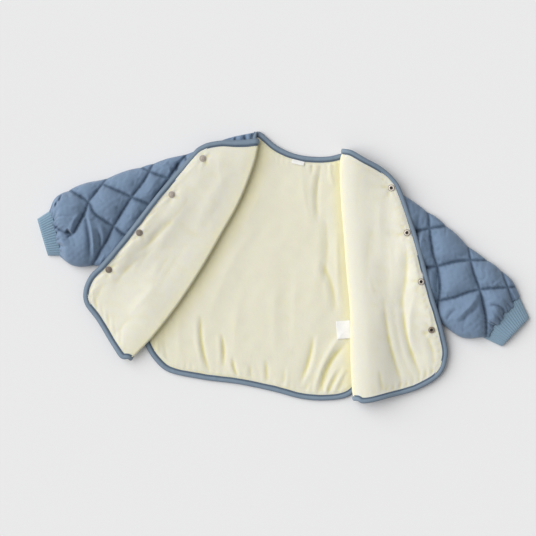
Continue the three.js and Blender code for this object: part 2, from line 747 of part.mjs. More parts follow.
function hollowRing(from, to, floor, height, sideWall, count) {
  const inset = sideWall / from.distanceTo(to);
  const ring = [];
  for (let k = 0; k < count; k += 1) {
    const angle = 2 * Math.PI * k / count;
    const across = 0.5 - (0.5 - inset) * Math.cos(angle);
    const rise = Math.sign(Math.sin(angle)) * Math.sqrt(Math.abs(Math.sin(angle)));
    ring.push(from.clone().lerp(to, across).setZ(floor + height * (1 + rise) / 2));
  }
  return ring;
}

function sleeveMesh(name, sleeve, turned) {
  const outer = [];
  for (let k = 0; k <= SLEEVE_CELLS.along; k += 1) {
    outer.push(sleeveRing(sleeve, k / SLEEVE_CELLS.along));
  }
  const inner = [];
  for (let k = 0; k <= SLEEVE_CELLS.hollowAlong; k += 1) {
    const along = k / SLEEVE_CELLS.hollowAlong;
    const opening = smoothstep(along, 0, HOLLOW_FULL_FROM);
    const open = lerp(HOLLOW_HEIGHT_AT_SEAM, HOLLOW_HEIGHT, opening);
    const floor = along > HOLLOW_AT_CUFF_FROM ? HOLLOW_FLOOR_AT_CUFF : HOLLOW_FLOOR;
    const [from, to] = [sleeve.topEdge(along), sleeve.bottomEdge(along)];
    inner.push(hollowRing(from, to, floor, open, HOLLOW_SIDE_WALL, SLEEVE_CELLS.hollowAround));
  }
  return tubeMesh(name, outer, inner, COLOURS.quilt, turned);
}

function cuffRing(from, to) {
  const ring = [];
  const steps = 2 * CUFF_RIBS;
  for (let k = 0; k <= steps; k += 1) {
    const across = k / steps;
    const sunk = k % 2 === 0 ? 0 : RIB_DEPTH;
    const height = CUFF_HEIGHT * lerp(CUFF_SIDE_SHARE, 1, domeShare(across)) - sunk;
    ring.push(from.clone().lerp(to, across).setZ(height));
  }
  for (const across of CUFF_UNDERSIDE) {
    ring.push(from.clone().lerp(to, across).setZ(0));
  }
  return ring;
}

function cuffMesh(name, sleeve, turned) {
  const [sleeveTop, sleeveBottom] = [sleeve.topEdge(1), sleeve.bottomEdge(1)];
  const [edgeTop, edgeBottom] = [flat(sleeve.cuff.top), flat(sleeve.cuff.bottom)];
  const away = edgeTop.clone().add(edgeBottom).sub(sleeveTop).sub(sleeveBottom).normalize();
  const open = CUFF_HEIGHT - 2 * CUFF_WALL;
  const outer = [];
  const inner = [];
  for (const share of [0, 0.5, 1]) {
    const from = sleeveTop.clone().addScaledVector(away, SEAM_GAP).lerp(edgeTop, share);
    const to = sleeveBottom.clone().addScaledVector(away, SEAM_GAP).lerp(edgeBottom, share);
    outer.push(cuffRing(from, to));
    inner.push(hollowRing(from, to, CUFF_WALL, open, CUFF_SIDE_WALL, CUFF_HOLLOW_AROUND));
  }
  return tubeMesh(name, outer, inner, COLOURS.cuff, turned);
}

// Snaps and labels

// The highest point of a lining's upper surface over one place, or null beside it
function surfacePoint(lining, firstColumn, x, y) {
  let found = null;
  const triangle = new THREE.Triangle();
  const weights = new THREE.Vector3();
  for (let i = firstColumn; i < lining.length - 1; i += 1) {
    for (let j = 0; j < lining[0].length - 1; j += 1) {
      const corners = [lining[i][j], lining[i + 1][j], lining[i + 1][j + 1], lining[i][j + 1]];
      for (const [p, q, r] of [[0, 1, 2], [0, 2, 3]]) {
        const three = [corners[p], corners[q], corners[r]];
        triangle.set(...three.map((corner) => flat(corner)));
        triangle.getBarycoord(new THREE.Vector3(x, y, 0), weights);
        if (Math.min(weights.x, weights.y, weights.z) >= 0) {
          const z = three[0].z * weights.x + three[1].z * weights.y + three[2].z * weights.z;
          found = new THREE.Vector3(x, y, Math.max(z, found ? found.z : z));
        }
      }
    }
  }
  return found;
}

function snapMesh(name, lining, firstColumn, place, socket) {
  const rows = socket ? SOCKET_OUTLINE : STUD_OUTLINE;
  const outline = rows.map(({ radius, height }) => new THREE.Vector2(radius, height));
  const geometry = new THREE.LatheGeometry(outline, SNAP_SEGMENTS);
  const finish = { color: COLOURS[place.metal], roughness: METAL_ROUGHNESS, metalness: 1 };
  const material = new THREE.MeshStandardMaterial(finish);
  const mesh = new THREE.Mesh(geometry, material);
  mesh.name = name;
  const at = (dx, dy) => surfacePoint(lining, firstColumn, place.x + dx, place.y + dy);
  const rim = SNAP_RADIUS;
  const [east, west, north, south] = [at(rim, 0), at(-rim, 0), at(0, rim), at(0, -rim)];
  const normal = east.sub(west).cross(north.clone().sub(south)).normalize();
  const centre = at(0, 0).addScaledVector(normal, SNAP_LIFT);
  mesh.position.copy(centre);
  mesh.quaternion.setFromUnitVectors(new THREE.Vector3(0, 1, 0), normal);
  return mesh;
}

function labelMesh(name, label, lining) {
  const upper = [];
  const lower = [];
  for (let i = 0; i <= LABEL_CELLS; i += 1) {
    upper.push([]);
    lower.push([]);
    for (let j = 0; j <= LABEL_CELLS; j += 1) {
      const x = label.x + label.width * (i / LABEL_CELLS - 0.5);
      const y = label.y - label.length * (j / LABEL_CELLS - 0.5);
      const base = surfacePoint(lining, 0, x, y);
      lower[i].push(base.clone().setZ(base.z + LABEL_LIFT));
      upper[i].push(base.clone().setZ(base.z + LABEL_LIFT + label.thickness));
    }
  }
  return sheetMesh(name, upper, lower, COLOURS.label, true);
}

// The jacket

function buildJacket() {
  const jacket = new THREE.Group();
  const back = backGrid();
  const backRows = back.lining[0].length;
  jacket.add(sheetMesh('back', back.lining, back.shell, COLOURS.lining, true));
  const neckRoute = rowRoute(BACK_CELLS.across + 1, 0, 1, 0);
  const hemRoute = rowRoute(BACK_CELLS.across + 1, backRows - 1, backRows - 2, 0);
  jacket.add(bindingMesh('back_neck_binding', back, neckRoute, true));
  jacket.add(bindingMesh('back_hem_binding', back, hemRoute, false));
  for (const name of ['right', 'left']) {
    const turned = name === 'left';
    const sleeve = sleeveShape(name);
    const front = frontGrid(name, sleeve);
    const { hemBoundFrom, neckBoundFrom } = FRONTS[name];
    const route = frontRoute(front.lining.length, front.lining[0].length, hemBoundFrom, neckBoundFrom);
    jacket.add(sheetMesh(`${name}_front`, front.lining, front.shell, COLOURS.lining, turned));
    jacket.add(bindingMesh(`${name}_front_binding`, front, route, !turned));
    jacket.add(sleeveMesh(`${name}_sleeve`, sleeve, turned));
    jacket.add(cuffMesh(`${name}_cuff`, sleeve, turned));
    SNAPS[name].forEach((place, k) => {
      const snapName = `${name === 'right' ? 'stud' : 'socket'}_${k + 1}`;
      jacket.add(snapMesh(snapName, front.lining, front.flapStart, place, name === 'left'));
    });
  }
  jacket.add(labelMesh('side_label', SIDE_LABEL, back.lining));
  jacket.add(labelMesh('neck_label', NECK_LABEL, back.lining));
  return jacket;
}

export default buildJacket();
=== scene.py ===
import math

import bmesh
import bpy
import numpy as np
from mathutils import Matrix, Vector
from mathutils.bvhtree import BVHTree


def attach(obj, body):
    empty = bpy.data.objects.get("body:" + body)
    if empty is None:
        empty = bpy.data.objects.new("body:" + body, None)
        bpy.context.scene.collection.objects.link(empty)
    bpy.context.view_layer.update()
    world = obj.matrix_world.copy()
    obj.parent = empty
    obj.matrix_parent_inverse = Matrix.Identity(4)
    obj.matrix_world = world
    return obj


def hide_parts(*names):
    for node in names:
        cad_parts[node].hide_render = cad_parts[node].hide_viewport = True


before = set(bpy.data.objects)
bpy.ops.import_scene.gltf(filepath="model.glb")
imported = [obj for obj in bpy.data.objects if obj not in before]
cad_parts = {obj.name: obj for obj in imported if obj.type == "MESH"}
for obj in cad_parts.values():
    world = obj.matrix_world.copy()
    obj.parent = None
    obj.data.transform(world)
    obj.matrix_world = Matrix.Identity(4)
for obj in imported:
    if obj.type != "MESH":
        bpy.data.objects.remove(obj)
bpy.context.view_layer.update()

MM = 0.001

# Cloth and binding
PANEL_THICKNESS = 5
BOUND_THICKNESS = 2.8             # pressed flat under the binding
THICKENS = (0.3, 4.5)             # how far past the binding, and over what width, cloth thickens again
BACK_RISES = (0.2, 6)             # the same for where the back may crease
FRONT_RISES = (0.3, 5)
BINDING_WIDTH = 7.5
BINDING_STANDS_OFF = 1.15
BINDING_STEP = 2                  # between the sections of a binding
BINDING_AIM = 4                   # cells in from the edge at which a binding finds its cloth
BINDING_INSIDE = (0.3, 0.2)       # how far its hidden inside stays off its nose, and off its outside
SLIMMEST_BINDING = 0.4            # share of its width that a tapering binding keeps at its end
BACK_EDGE_BOTTOM = BINDING_STANDS_OFF + 0.1
UNDER_FOLD_MIDDLE = 8.2
UNDERARM_SHARE = 0.52
SEAM_GAP = 0.4
CLEARANCE = 0.35                  # between cloths that lie on each other
OFF_FLOOR = 0.05
QUILT_HALF_PITCH = 24
QUILT_TURNS = (32.5, 122.5)       # degrees between +X and the stitched lines of the body
QUILT_FULLNESS = 0.75
QUILT_LOFT_PANEL = 1.4
SEAM_GROOVE = 1.5                 # how deep a stitched line sinks into the wadding
GROOVE_WIDTH = 1.8

# Sleeves and cuffs
SLEEVE_LOFT = 9.5
MOST_LIFT = 12
PUFFING = {"quality": 4, "mass": 0.1, "bending_stiffness": 0.5, "shrink_min": -0.025, "use_pressure": True,
           "uniform_pressure_force": 150, "vertex_group_mass": "held"}
PUFFING_FRAMES = 20
STARTS_PUFFED = 0.6               # of the full loft, before the wadding pushes
GATHERED_FROM = 0.95              # share of a sleeve's length past which it closes onto its cuff
OUTLINE_BULGE = 3.2
SIDE_SHARE = 0.3                  # height of a sleeve's side, of its whole height
UNDERSIDE_TUCK = 4
SLEEVE_WALL = 0.8
HOLLOW_SHARE = 0.86               # width of the hollow in a sleeve or cuff, of the whole width
PLEATS = 13
PLEAT_SEEDS = {"right": 7, "left": 8}
OVERHANGS = {"right": (1.6, 1.7, 0.6), "left": (2.6, 2.2, 2.1)}  # fall over the cuff, lobes and their turn
CUFF_HEIGHT = 10
CUFF_RIBS = 18
RIB_DEPTH = 0.9

# Snaps and labels
SNAP_RADIUS = 5
SNAP_LIFT = 0.45
SNAP_SEGMENTS = 40
RIM_BANDS = 7                     # bands of a socket's outline, from its foot up, in a darker brown metal
SOCKET_FLOOR = ((2.5, 0.25), (1.2, 0.22), (0.02, 0.2))  # radius and height
SNAP_HALVES = {"right": "stud", "left": "socket"}
LABEL_LIFT = 0.5
LABEL_THICKNESS = 0.35
LABEL_CELLS = (24, 30)
SMALLEST_SHEET = 10

BACK_CELLS = (150, 165)
UNDER_CELLS = 24
TURN_CELLS = 20
FLAP_CELLS = (84, 150)
SLEEVE_CELLS = {"along": 180, "top": 136, "round": 4, "bottom": 40}
PUFFING_CELLS = {"along": 96, "top": 60}
CUFF_CELLS = {"along": 26, "per_rib": 8, "bottom": 16}
CURVE_STEPS = 24                  # between two points of a curve
# Steps along each kind of line, for distances to it or for its stitches
LINE_STEPS = {"neck": 60, "hem": 60, "edge": 80, "fold": 80, "beside_fold": 60, "back_neck": 80,
              "back_hem": 120, "quilting": 30, "stitches": 90}

# Camera, light and floor, in metres
CAMERA_HEIGHT = 4.0
VIEW_WIDTH = 0.804
VIEW_CENTRE = (-0.0203, -0.0015)
SENSOR_WIDTH = 36
WINDOW = {"towards": (-0.75, 0.26, 0.64), "width": 70, "power": 3.15}
ROOM_LIGHT = 0.38
FLOOR_REACH = 6
FLOOR_LEVEL = -0.0003


def table(columns, rows):
    return [dict(zip(columns.split(), row)) for row in rows]


BACK_NECK = [
    (-37, 202), (-33, 202), (-22, 193), (-9, 182), (14, 170.5), (38, 165), (70, 164.5), (97, 171), (98, 171),
]
BACK_HEM = [
    (-212, -92), (-202, -120), (-189, -140), (-172, -155), (-122, -167), (-62, -175), (-10, -186),
    (30, -196.5), (65, -199), (98, -194), (118, -178),
]
# Neck end, underarm and hem end of the seam that joins each side to the back
SEAMS = {"right": [(-37, 202), (-164, 50), (-212, -92)], "left": [(98, 171), (143, 8), (118, -178)]}

FRONTS = {
    "right": {
        "side": -1, "hem_bound_from": "fold", "neck_bound_from": "seam", "tape_tapers_over": 14,
        "turn_radius": 3.2, "turn_half": 1.3, "turn_round": 0.4, "crest_at": -2.6, "settles_over": 34,
        # painted shade along the fold's edge: how strong, and how far it reaches
        "fold_edge_painted_shade": (0.35, 12),
        "neck": [(-62, 188.5), (-89, 188), (-112, 184), (-126, 177)],
        "edge": [(-126, 177), (-139, 162), (-181, 113), (-241, 36), (-271, 1.5), (-285, -12), (-294, -30),
                 (-296, -44)],
        "hem": [(-296, -44), (-293, -56), (-276, -79), (-256, -112), (-247, -126), (-241, -134.5),
                (-236, -137.5)],
        "fold": [(-33, 190), (-40, 158), (-62, 100), (-89, 51), (-122, -6), (-155, -56), (-194, -106),
                 (-213, -126), (-226, -139.5)],
    },
    "left": {
        "side": 1, "hem_bound_from": "seam", "neck_bound_from": "fold", "tape_tapers_over": 0,
        "turn_radius": 6.5, "turn_half": 1.9, "turn_round": 0.7, "crest_at": 18, "settles_over": 60,
        # painted shade along the fold's edge: how strong, and how far it reaches
        "fold_edge_painted_shade": (0.5, 5),
        "neck": [(103, 174), (124, 162), (146, 150.5), (161, 139)],
        "edge": [(161, 139), (174, 123), (189, 83), (205, 33), (224, -38), (243, -102), (248, -128),
                 (245, -147)],
        "hem": [(245, -147), (239, -159), (227, -170), (200, -184), (155, -196), (132, -201.5), (117, -202)],
        "fold": [(90, 176), (87, 153), (88, 110), (93, 45), (97, -10), (102, -64), (103, -140), (106, -199)],
    },
}

QUILTING = ("lengthwise", "crosswise")
HEIGHT_STOPS = np.array([0, 0.12, 0.35, 0.55, 0.75, 0.9, 1])  # shares of a sleeve's length at its heights
SLEEVES = {
    "right": {
        "top": [(-80, 193), (-137, 171), (-200, 153), (-272, 130), (-314, 117), (-336, 103), (-344.5, 86)],
        "bottom": [(-205, 24), (-250, 6), (-285, 1.5), (-310, 4), (-329, 17)],
        "height": [10.4, 11, 13, 17, 20, 20, 13],
        "cuff": [(-366, 72), (-350, 17)],
        "lengthwise": [
            [(-110, 200), (-140, 172), (-190, 100), (-240, 20)],
            [(-182, 176), (-192.5, 154.2), (-206, 128), (-224.5, 103.4), (-251, 60.3), (-262, 38),
             (-275, 17.3), (-285, -4)],
            [(-244, 160), (-259.7, 136.1), (-268, 124), (-280, 108), (-288, 97.4), (-293.2, 82.7), (-302, 66),
             (-311.3, 50), (-318, 46)],
        ],
        "crosswise": [
            [(-250, 170), (-215, 152), (-194.2, 141.3), (-165, 131), (-140, 122)],
            [(-268, 124), (-245.9, 114.6), (-225.2, 104.7), (-197.7, 93), (-170, 80)],
            [(-336, 122), (-314.7, 113.7), (-302, 106), (-289, 97), (-278.6, 79.3), (-265, 69.5),
             (-251, 60.3), (-235.5, 48.3), (-212, 32)],
            [(-350, 66), (-332, 56), (-320, 50)],
        ],
    },
    "left": {
        "top": [(130, 148), (184, 106), (238, 69), (287, 25), (322, 1), (345, -21), (355, -42)],
        "bottom": [(172, -24), (215, -64), (245, -87), (271, -104), (303, -106)],
        "height": [10.4, 10.8, 12, 14.5, 17, 17, 12.5],
        "cuff": [(371, -76), (330, -119)],
        "lengthwise": [
            [(172, 130), (176, 80), (182, 20), (184, -50)],
            [(214, 100), (219.5, 78), (223, 44), (227, 18), (233, 0), (237, -34), (233, -56), (224, -80)],
            [(274, 60), (279, 31), (283, 9), (287, -8), (296, -34), (303, -62), (306, -84), (306, -110)],
            [(322, 16), (330, -8), (338, -30), (346, -52)],
        ],
        "crosswise": [
            [(180, 48), (214, 56), (250, 62), (275, 66)],
            [(180, -10), (209, -2), (233, 1), (260, 8), (283, 10), (305, 10), (330, 14)],
            [(190, -64), (214, -56), (238, -50), (260, -45), (275, -39), (295, -34), (313, -32), (349, -30)],
        ],
    },
}

# Creases, from one end to the other, bowed sideways, with a trough beside the ridge where they lean
CREASE_COLUMNS = "x0 y0 x1 y1 bow width rise lean"
BACK_CREASES = table(CREASE_COLUMNS, [
    (-121, -70, -108, -160, 5, 4, -2.2, 1), (-90, -100, -88, -150, -2, 3.5, -2.0, 1),
    (-73, -135, -66, -166, 2, 3, -1.8, 1), (-47, -146, -44, -172, 1, 3, -1.0, 1),
    (-23, -138, -20, -176, 1, 3.5, -1.3, 1), (5, -150, 4, -186, 1, 3, -0.9, -1),
    (48, -100, 26, -178, -4, 4.5, -2.2, -1), (93, -96, 47, -194, 6, 6, 3.2, 0),
    (104, -108, 55, -196, 10, 6, -3.0, 0), (84, -150, 62, -200, 3, 3, 2.0, -1),
    (98, -150, 76, -200, 3, 3.2, 1.8, -1), (44, -172, 38, -200, 1, 2.5, 1.2, 1),
    (61, 158, 55, 66, 5, 5, -1.6, 1), (66, 84, 60, -40, -5, 7, -1.3, 1), (58, 12, 80, -70, -6, 6, -1.5, 1),
    (30, 150, 44, 60, 3, 8, 0.9, 0), (-10, 150, -60, 40, 4, 12, 1.0, 0),
    (-40, 60, -110, -80, 8, 12, 1.2, 0), (-6, -20, -10, -130, 3, 9, 0.8, 0),
    (24, 0, 20, -120, 3, 9, 0.7, 0), (-60, -40, -72, -130, 3, 9, 0.9, 0), (84, 60, 88, -60, 3, 5, 1.2, 0),
    (72, 160, 78, 120, 2, 4, 1.0, 0), (48, 162, 46, 138, 1, 3, -0.8, 1),
    (-150, -60, -150, -150, 4, 9, 1.0, 0), (-176, -96, -168, -150, 3, 6, -0.9, 1),
])
FRONT_CREASES = {
    "right": table(CREASE_COLUMNS, [
        (-134, 110, -226, 12, -6, 7, -1.4, 1), (-164, 74, -206, 16, 5, 8, -1.2, -1),
        (-200, 22, -252, -30, 4, 6, -1.2, 1), (-186, 34, -220, -12, 3, 5, -0.6, 1),
        (-164, 20, -190, -26, 3, 5, -0.5, 1), (-90, 176, -84, 110, 6, 10, 1.0, 0),
        (-70, 150, -130, 50, 8, 12, 1.2, 0), (-120, 60, -196, -60, 6, 12, -1.0, 0),
        (-180, -20, -240, -100, 5, 9, 0.9, 0), (-262, -20, -280, -62, 3, 6, -0.8, 1),
        (-104, 178, -118, 140, 2, 4, -0.7, 1), (-220, -70, -252, -112, 3, 6, -0.8, -1),
    ]),
    "left": table(CREASE_COLUMNS, [
        (152, -44, 182, -180, 6, 5.5, -2.0, -1), (180, -40, 209, -166, 7, 5.5, -2.4, 1),
        (200, -36, 195, -128, 6, 8, 2.4, 0), (186, 34, 177, -64, -4, 8, -2.6, 1),
        (128, -10, 141, -50, 2, 3, 0.5, -1), (212, -92, 229, -150, -4, 6, -1.4, 1),
        (134, 60, 128, -40, 3, 9, -1.2, 0), (150, 120, 150, 10, 4, 9, 0.9, 0),
        (160, 40, 164, -50, -3, 8, 1.1, 0), (128, -60, 134, -180, 3, 9, 0.9, 0),
        (120, 150, 112, 60, 3, 7, -0.8, 0), (222, -60, 226, -86, 2, 4, 0.9, 0),
        (204, 10, 212, -10, 2, 4, -0.8, 1), (146, -150, 152, -186, 2, 4, -0.8, 1),
    ]),
}
SLEEVE_CREASES = {
    "right": table(CREASE_COLUMNS, [
        (-291, 84, -281, 8, -4, 3.5, 4.5, 0), (-296, 84, -288, 4, -4, 5, -5.5, 0),
        (-272, 66, -267, 28, -3, 4, 2.4, 0), (-276, 58, -272, 20, -3, 3.5, -2.6, 0),
        (-300, 82, -316, 48, 3, 4.5, 3.6, 0), (-322, 55, -313, 48, 0, 2.8, -9, 0),
        (-319, 60, -312, 50, 0, 2, 3, 0), (-329, 108, -333, 97, 0, 2.2, -7, 0),
        (-335, 98, -339, 88, 0, 2, -6, 0), (-326, 88, -300, 88, -2, 4, 1.6, 0),
        (-302, 112, -292, 100, 1, 5, -2.5, 0), (-214, 138, -222, 114, 3, 7, -2.2, 0),
        (-154, 158, -157, 142, 1, 2.6, -6, 0), (-145, 168, -141, 154, 0, 2.6, -6, 0),
        (-168, 152, -164, 136, 1, 3, 2.6, 0), (-45, 203, -41, 187, 0, 1.7, -9, 0),
        (-56, 199, -54, 188, 0, 1.8, -8, 0), (-50, 204, -48, 186, 0, 2.2, 3.2, 0),
        (-62, 202, -62, 186, 0, 2.6, 2.6, 0), (-69, 199, -70, 186, 0, 2, -5, 0),
        (-90, 190, -72, 193, 0, 1.8, -5, 0), (-98, 196, -94, 182, 0, 2.4, -4, 0),
        (-110, 190, -104, 178, 0, 2.4, -3, 0), (-280, 6, -270, 22, 0, 2.2, -3.4, 0),
        (-272, 4, -264, 20, 0, 2.2, 2.4, 0), (-276, 110, -262, 92, 2, 4, -1.2, 0),
        (-250, 96, -236, 78, 2, 4, -1.0, 0),
    ]),
    "left": table(CREASE_COLUMNS, [
        (298, -36, 256, -80, -3, 5, 3.4, -1), (236, 18, 233, -60, 3, 5, -3.4, 0),
        (208, 96, 200, -10, 4, 6, -4, 0), (216, 70, 206, 10, 3, 5, 2.6, 0), (190, 80, 198, 10, 3, 6, 2, 0),
        (310, -56, 336, -66, -3, 4, -3.6, 1), (330, -20, 308, -42, 3, 5, 2, 0),
        (250, 4, 252, -40, 4, 8, 1.2, 0), (262, -60, 246, -84, 3, 4, -2, 1),
        (282, -60, 270, -100, 4, 6, -1.6, 0), (300, -44, 306, -74, 2, 4, -1.8, 1),
    ]),
}

SNAP_PLACES = {
    "right": table("x y metal finish", [
        (-118, 162, "nickel", "dull_pewter"), (-164, 108, "nickel", "dull_pewter"),
        (-212, 51, "bronze", "aged_bronze"), (-258, -4, "bronze", "aged_bronze"),
    ]),
    "left": table("x y metal finish", [
        (164, 118, "nickel", "pale_nickel"), (187, 51, "nickel", "pale_nickel"),
        (208, -22, "nickel", "pale_nickel"), (224, -94, "bronze", "worn_bronze"),
    ]),
}
WIDER_BINDING = {"right_front_binding_tape": {"at": (-42, 188), "reach": 62, "by": 2.6}}
# Inward from a binding's stitched edge, and up from the cloth under it, to the outside of its fold
BINDING_FOLD = table("inward up", [
    (0, -0.1), (0.05, 0.25), (-0.3, 0.42), (-0.9, 0.3), (-1.5, 0.2), (-2.2, 0.65), (-3.3, 1.2),
])
BINDING_CREST = (2.8, 0.3)        # where the fold is highest: off the cloth's edge, and over its nose
STITCH_SECTIONS = table("share girth lift", [
    (-0.5, 0.35, -0.3), (-0.3, 1, 0.15), (0.3, 1, 0.15), (0.5, 0.35, -0.3),
])
STITCH_SIDES = 6
BODY_STITCH = {"pitch": 3.4, "length": 2.5, "thick": 0.42}
SLEEVE_STITCH = {"pitch": 3.6, "length": 2.7, "thick": 0.45}

# Soft unevenness of each cloth: height, size of its patches and seed
UNEVEN = {
    "back": [(0.5, 70, 1), (0.16, 22, 2)],
    "fronts": [(0.45, 65, 11), (0.14, 20, 12)],
    "sleeves": [(0.5, 26, 21), (0.28, 10, 22)],
    "binding_height": [(0.05, 17, 5), (0.04, 7, 6)],
    "binding_width": [(0.22, 23, 7)],
}
# Painted shade beside each front's fold: how much darker and yellower the back is coloured there, and how far
# out
PAINTED_SHADE_BESIDE_FOLD = {"right": (0.55, 24), "left": (0.55, 13)}
# Painted shade over the whole back, the least that it gets
PAINTED_SHADE_OF_BACK = 0.13
LABELS = table("name x y width length turn", [
    ("side_label", 93, -94, 21, 27, 4), ("neck_label", 25, 156.5, 19, 6.5, -14),
])


# Lines, patches and folds of cloth

def even(cells):
    return np.linspace(0, 1, cells + 1)


def ease(share):
    share = np.clip(share, 0, 1)
    return share * share * (3 - 2 * share)


def unit(vectors):
    return vectors / np.maximum(np.linalg.norm(vectors, axis=-1, keepdims=True), 1e-9)


def fading(distance, width):
    """1 at no distance, sinking to nothing over a few widths."""
    return np.exp(-((distance / width) ** 2))


def travelled(line):
    """Distance from a line's start to each of its points."""
    return np.concatenate([[0], np.cumsum(np.linalg.norm(np.diff(line, axis=0), axis=-1))])


def straight(stops, points):
    """A line through points, read at stops; straight between them."""
    points = np.array(points, float)
    return lambda share: np.stack([np.interp(share, stops, points[:, k]) for k in range(points.shape[1])], -1)


def curve_through(points):
    """A smooth line through points, read by the share of its length."""
    points = np.array(points, float)
    points = np.vstack([2 * points[0] - points[1], points, 2 * points[-1] - points[-2]])
    step = even(CURVE_STEPS)[:, None]
    pieces = []
    for a, b, c, d in zip(points, points[1:], points[2:], points[3:]):
        before, here, after = (math.sqrt(max(math.dist(p, q), 1e-6)) for p, q in ((a, b), (b, c), (c, d)))
        leave = ((b - a) / before - (c - a) / (before + here) + (c - b) / here) * here
        reach = ((c - b) / here - (d - b) / (here + after) + (d - c) / after) * here
        pieces.append(
            (2 * step**3 - 3 * step**2 + 1) * b + (step**3 - 2 * step**2 + step) * leave
            + (3 * step**2 - 2 * step**3) * c + (step**3 - step**2) * reach)
    line = np.vstack(pieces)
    length = travelled(line)
    return straight(length / length[-1], line)


def drawn(curve, kind):
    """Points close together along a curve, or along the smooth line through a few points."""
    curve = curve if callable(curve) else curve_through(curve)
    return curve(even(LINE_STEPS[kind]))


def patch(start, end, neck, hem, across, down):
    """Cloth between four lines: start and end run from neck to hem, neck and hem from start to end."""
    u = across[:, None, None]
    v = down[None, :, None]
    corners = (1 - u) * (1 - v) * neck(0) + u * (1 - v) * neck(1) + (1 - u) * v * hem(0) + u * v * hem(1)
    sides = start(down)[None] * (1 - u) + end(down)[None] * u
    return sides + neck(across)[:, None] * (1 - v) + hem(across)[:, None] * v - corners


def distance_to(spots, line):
    nearest = np.full(spots.shape[:-1], np.inf)
    for a, b in zip(line, line[1:]):
        run = b - a
        share = np.clip(((spots - a) @ run) / max(run @ run, 1e-9), 0, 1)
        nearest = np.minimum(nearest, np.linalg.norm(spots - a - share[..., None] * run, axis=-1))
    return nearest


def creased(creases, spots):
    """Height that creases add: each fades out at its ends, and leans over a trough on one side."""
    x, y = spots[..., 0], spots[..., 1]
    height = np.zeros(x.shape)
    for c in creases:
        run = np.array([c["x1"] - c["x0"], c["y1"] - c["y0"]], float)
        length = math.hypot(*run)
        run /= length
        along = np.clip(((x - c["x0"]) * run[0] + (y - c["y0"]) * run[1]) / length, 0, 1)
        past_x = x - c["x0"] - along * length * run[0]
        past_y = y - c["y0"] - along * length * run[1]
        beyond = past_x * run[0] + past_y * run[1]
        beside = past_x * run[1] - past_y * run[0] - c["bow"] * np.sin(np.pi * along)
        reach = np.hypot(beside, beyond) / c["width"]
        fade = np.sin(np.pi * along) ** 0.8
        crest = np.exp(-1.3 * reach**1.45)
        trough = 0.5 * abs(c["lean"]) * fading(beside - 1.5 * c["lean"] * c["width"], c["width"])
        height += c["rise"] * fade * (crest - trough)
    return height


def unevenness(spots, size, seed):
    """Soft irregular swelling between about -1 and 1, in patches of one size."""
    chance = np.random.default_rng(seed)
    total = np.zeros(spots.shape[:-1])
    for _ in range(9):
        angle, phase = chance.uniform(0, math.tau, 2)
        wave = size * chance.uniform(0.7, 1.6)
        ahead = spots[..., 0] * math.cos(angle) + spots[..., 1] * math.sin(angle)
        total += np.sin(ahead * math.tau / wave + phase)
    return total / 4


def uneven_cloth(name, spots):
    return sum(height * unevenness(spots, size, seed) for height, size, seed in UNEVEN[name])


def soften(grid, passes):
    for _ in range(passes):
        padded = np.pad(grid, [(1, 1), (1, 1)] + [(0, 0)] * (grid.ndim - 2), "edge")
        grid = (padded[:-2, 1:-1] + padded[2:, 1:-1] + padded[1:-1, :-2] + padded[1:-1, 2:] + 4 * grid) / 8
    return grid


def painted_crease_shade(rise, passes, depth):
    """Painted shade for creases: 0 where cloth lies open, up to 1 at the bottom of a crease."""
    return np.clip((soften(rise, passes) - rise) / depth, 0, 1)


def normals_of(grid, side):
    across = np.gradient(grid, axis=0)
    down = np.gradient(grid, axis=1)
    return unit(np.cross(across, down) * -side)


# The frame's own surfaces, which the cloth follows and keeps clear of

def surface_of(node):
    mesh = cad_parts[node].data
    return BVHTree.FromPolygons([v.co for v in mesh.vertices], [p.vertices for p in mesh.polygons])


def surface_through(grid):
    return BVHTree.FromPolygons([Vector(p) for p in grid.reshape(-1, 3) * MM], grid_faces(*grid.shape[:2]))


def heights_on(surface, spots, upwards=False):
    """The first height met from above, or from below, at each spot; infinite beside the surface."""
    start, way = (-1, 1) if upwards else (1, -1)
    found = []
    for x, y in (spots.reshape(-1, 2) * MM).tolist():
        hit = surface.ray_cast(Vector((x, y, start)), Vector((0, 0, way)))[0]
        found.append(np.inf if hit is None else hit.z / MM)
    return np.array(found).reshape(spots.shape[:-1])


def filled(heights):
    """Gives spots just beside the surface the height of their neighbours."""
    while np.isinf(heights).any():
        padded = np.pad(heights, 1, constant_values=np.inf)
        near = np.stack([padded[:-2, 1:-1], padded[2:, 1:-1], padded[1:-1, :-2], padded[1:-1, 2:]])
        known = np.isfinite(near)
        mean = np.where(known, near, 0).sum(0) / np.maximum(known.sum(0), 1)
        heights = np.where(np.isinf(heights) & known.any(0), mean, heights)
    return heights


# Making pieces

def grid_faces(rows, columns, first=0, around=False):
    across = columns if around else columns - 1
    i, j = np.meshgrid(np.arange(rows - 1), np.arange(across), indexing="ij")
    a = i * columns + j
    b = i * columns + (j + 1) % columns
    return (np.stack([a, b, b + columns, a + columns], -1).reshape(-1, 4) + first).tolist()


def joined(parts):
    """Points and faces of several meshes as those of one."""
    points, faces, first = [], [], 0
    for part_points, part_faces in parts:
        points.append(part_points)
        faces += [[corner + first for corner in face] for face in part_faces]
        first += len(part_points)
    return np.concatenate(points), faces


def put(name, data):
    """A new object in the scene."""
    made = bpy.data.objects.new(name, data)
    bpy.context.collection.objects.link(made)
    return made


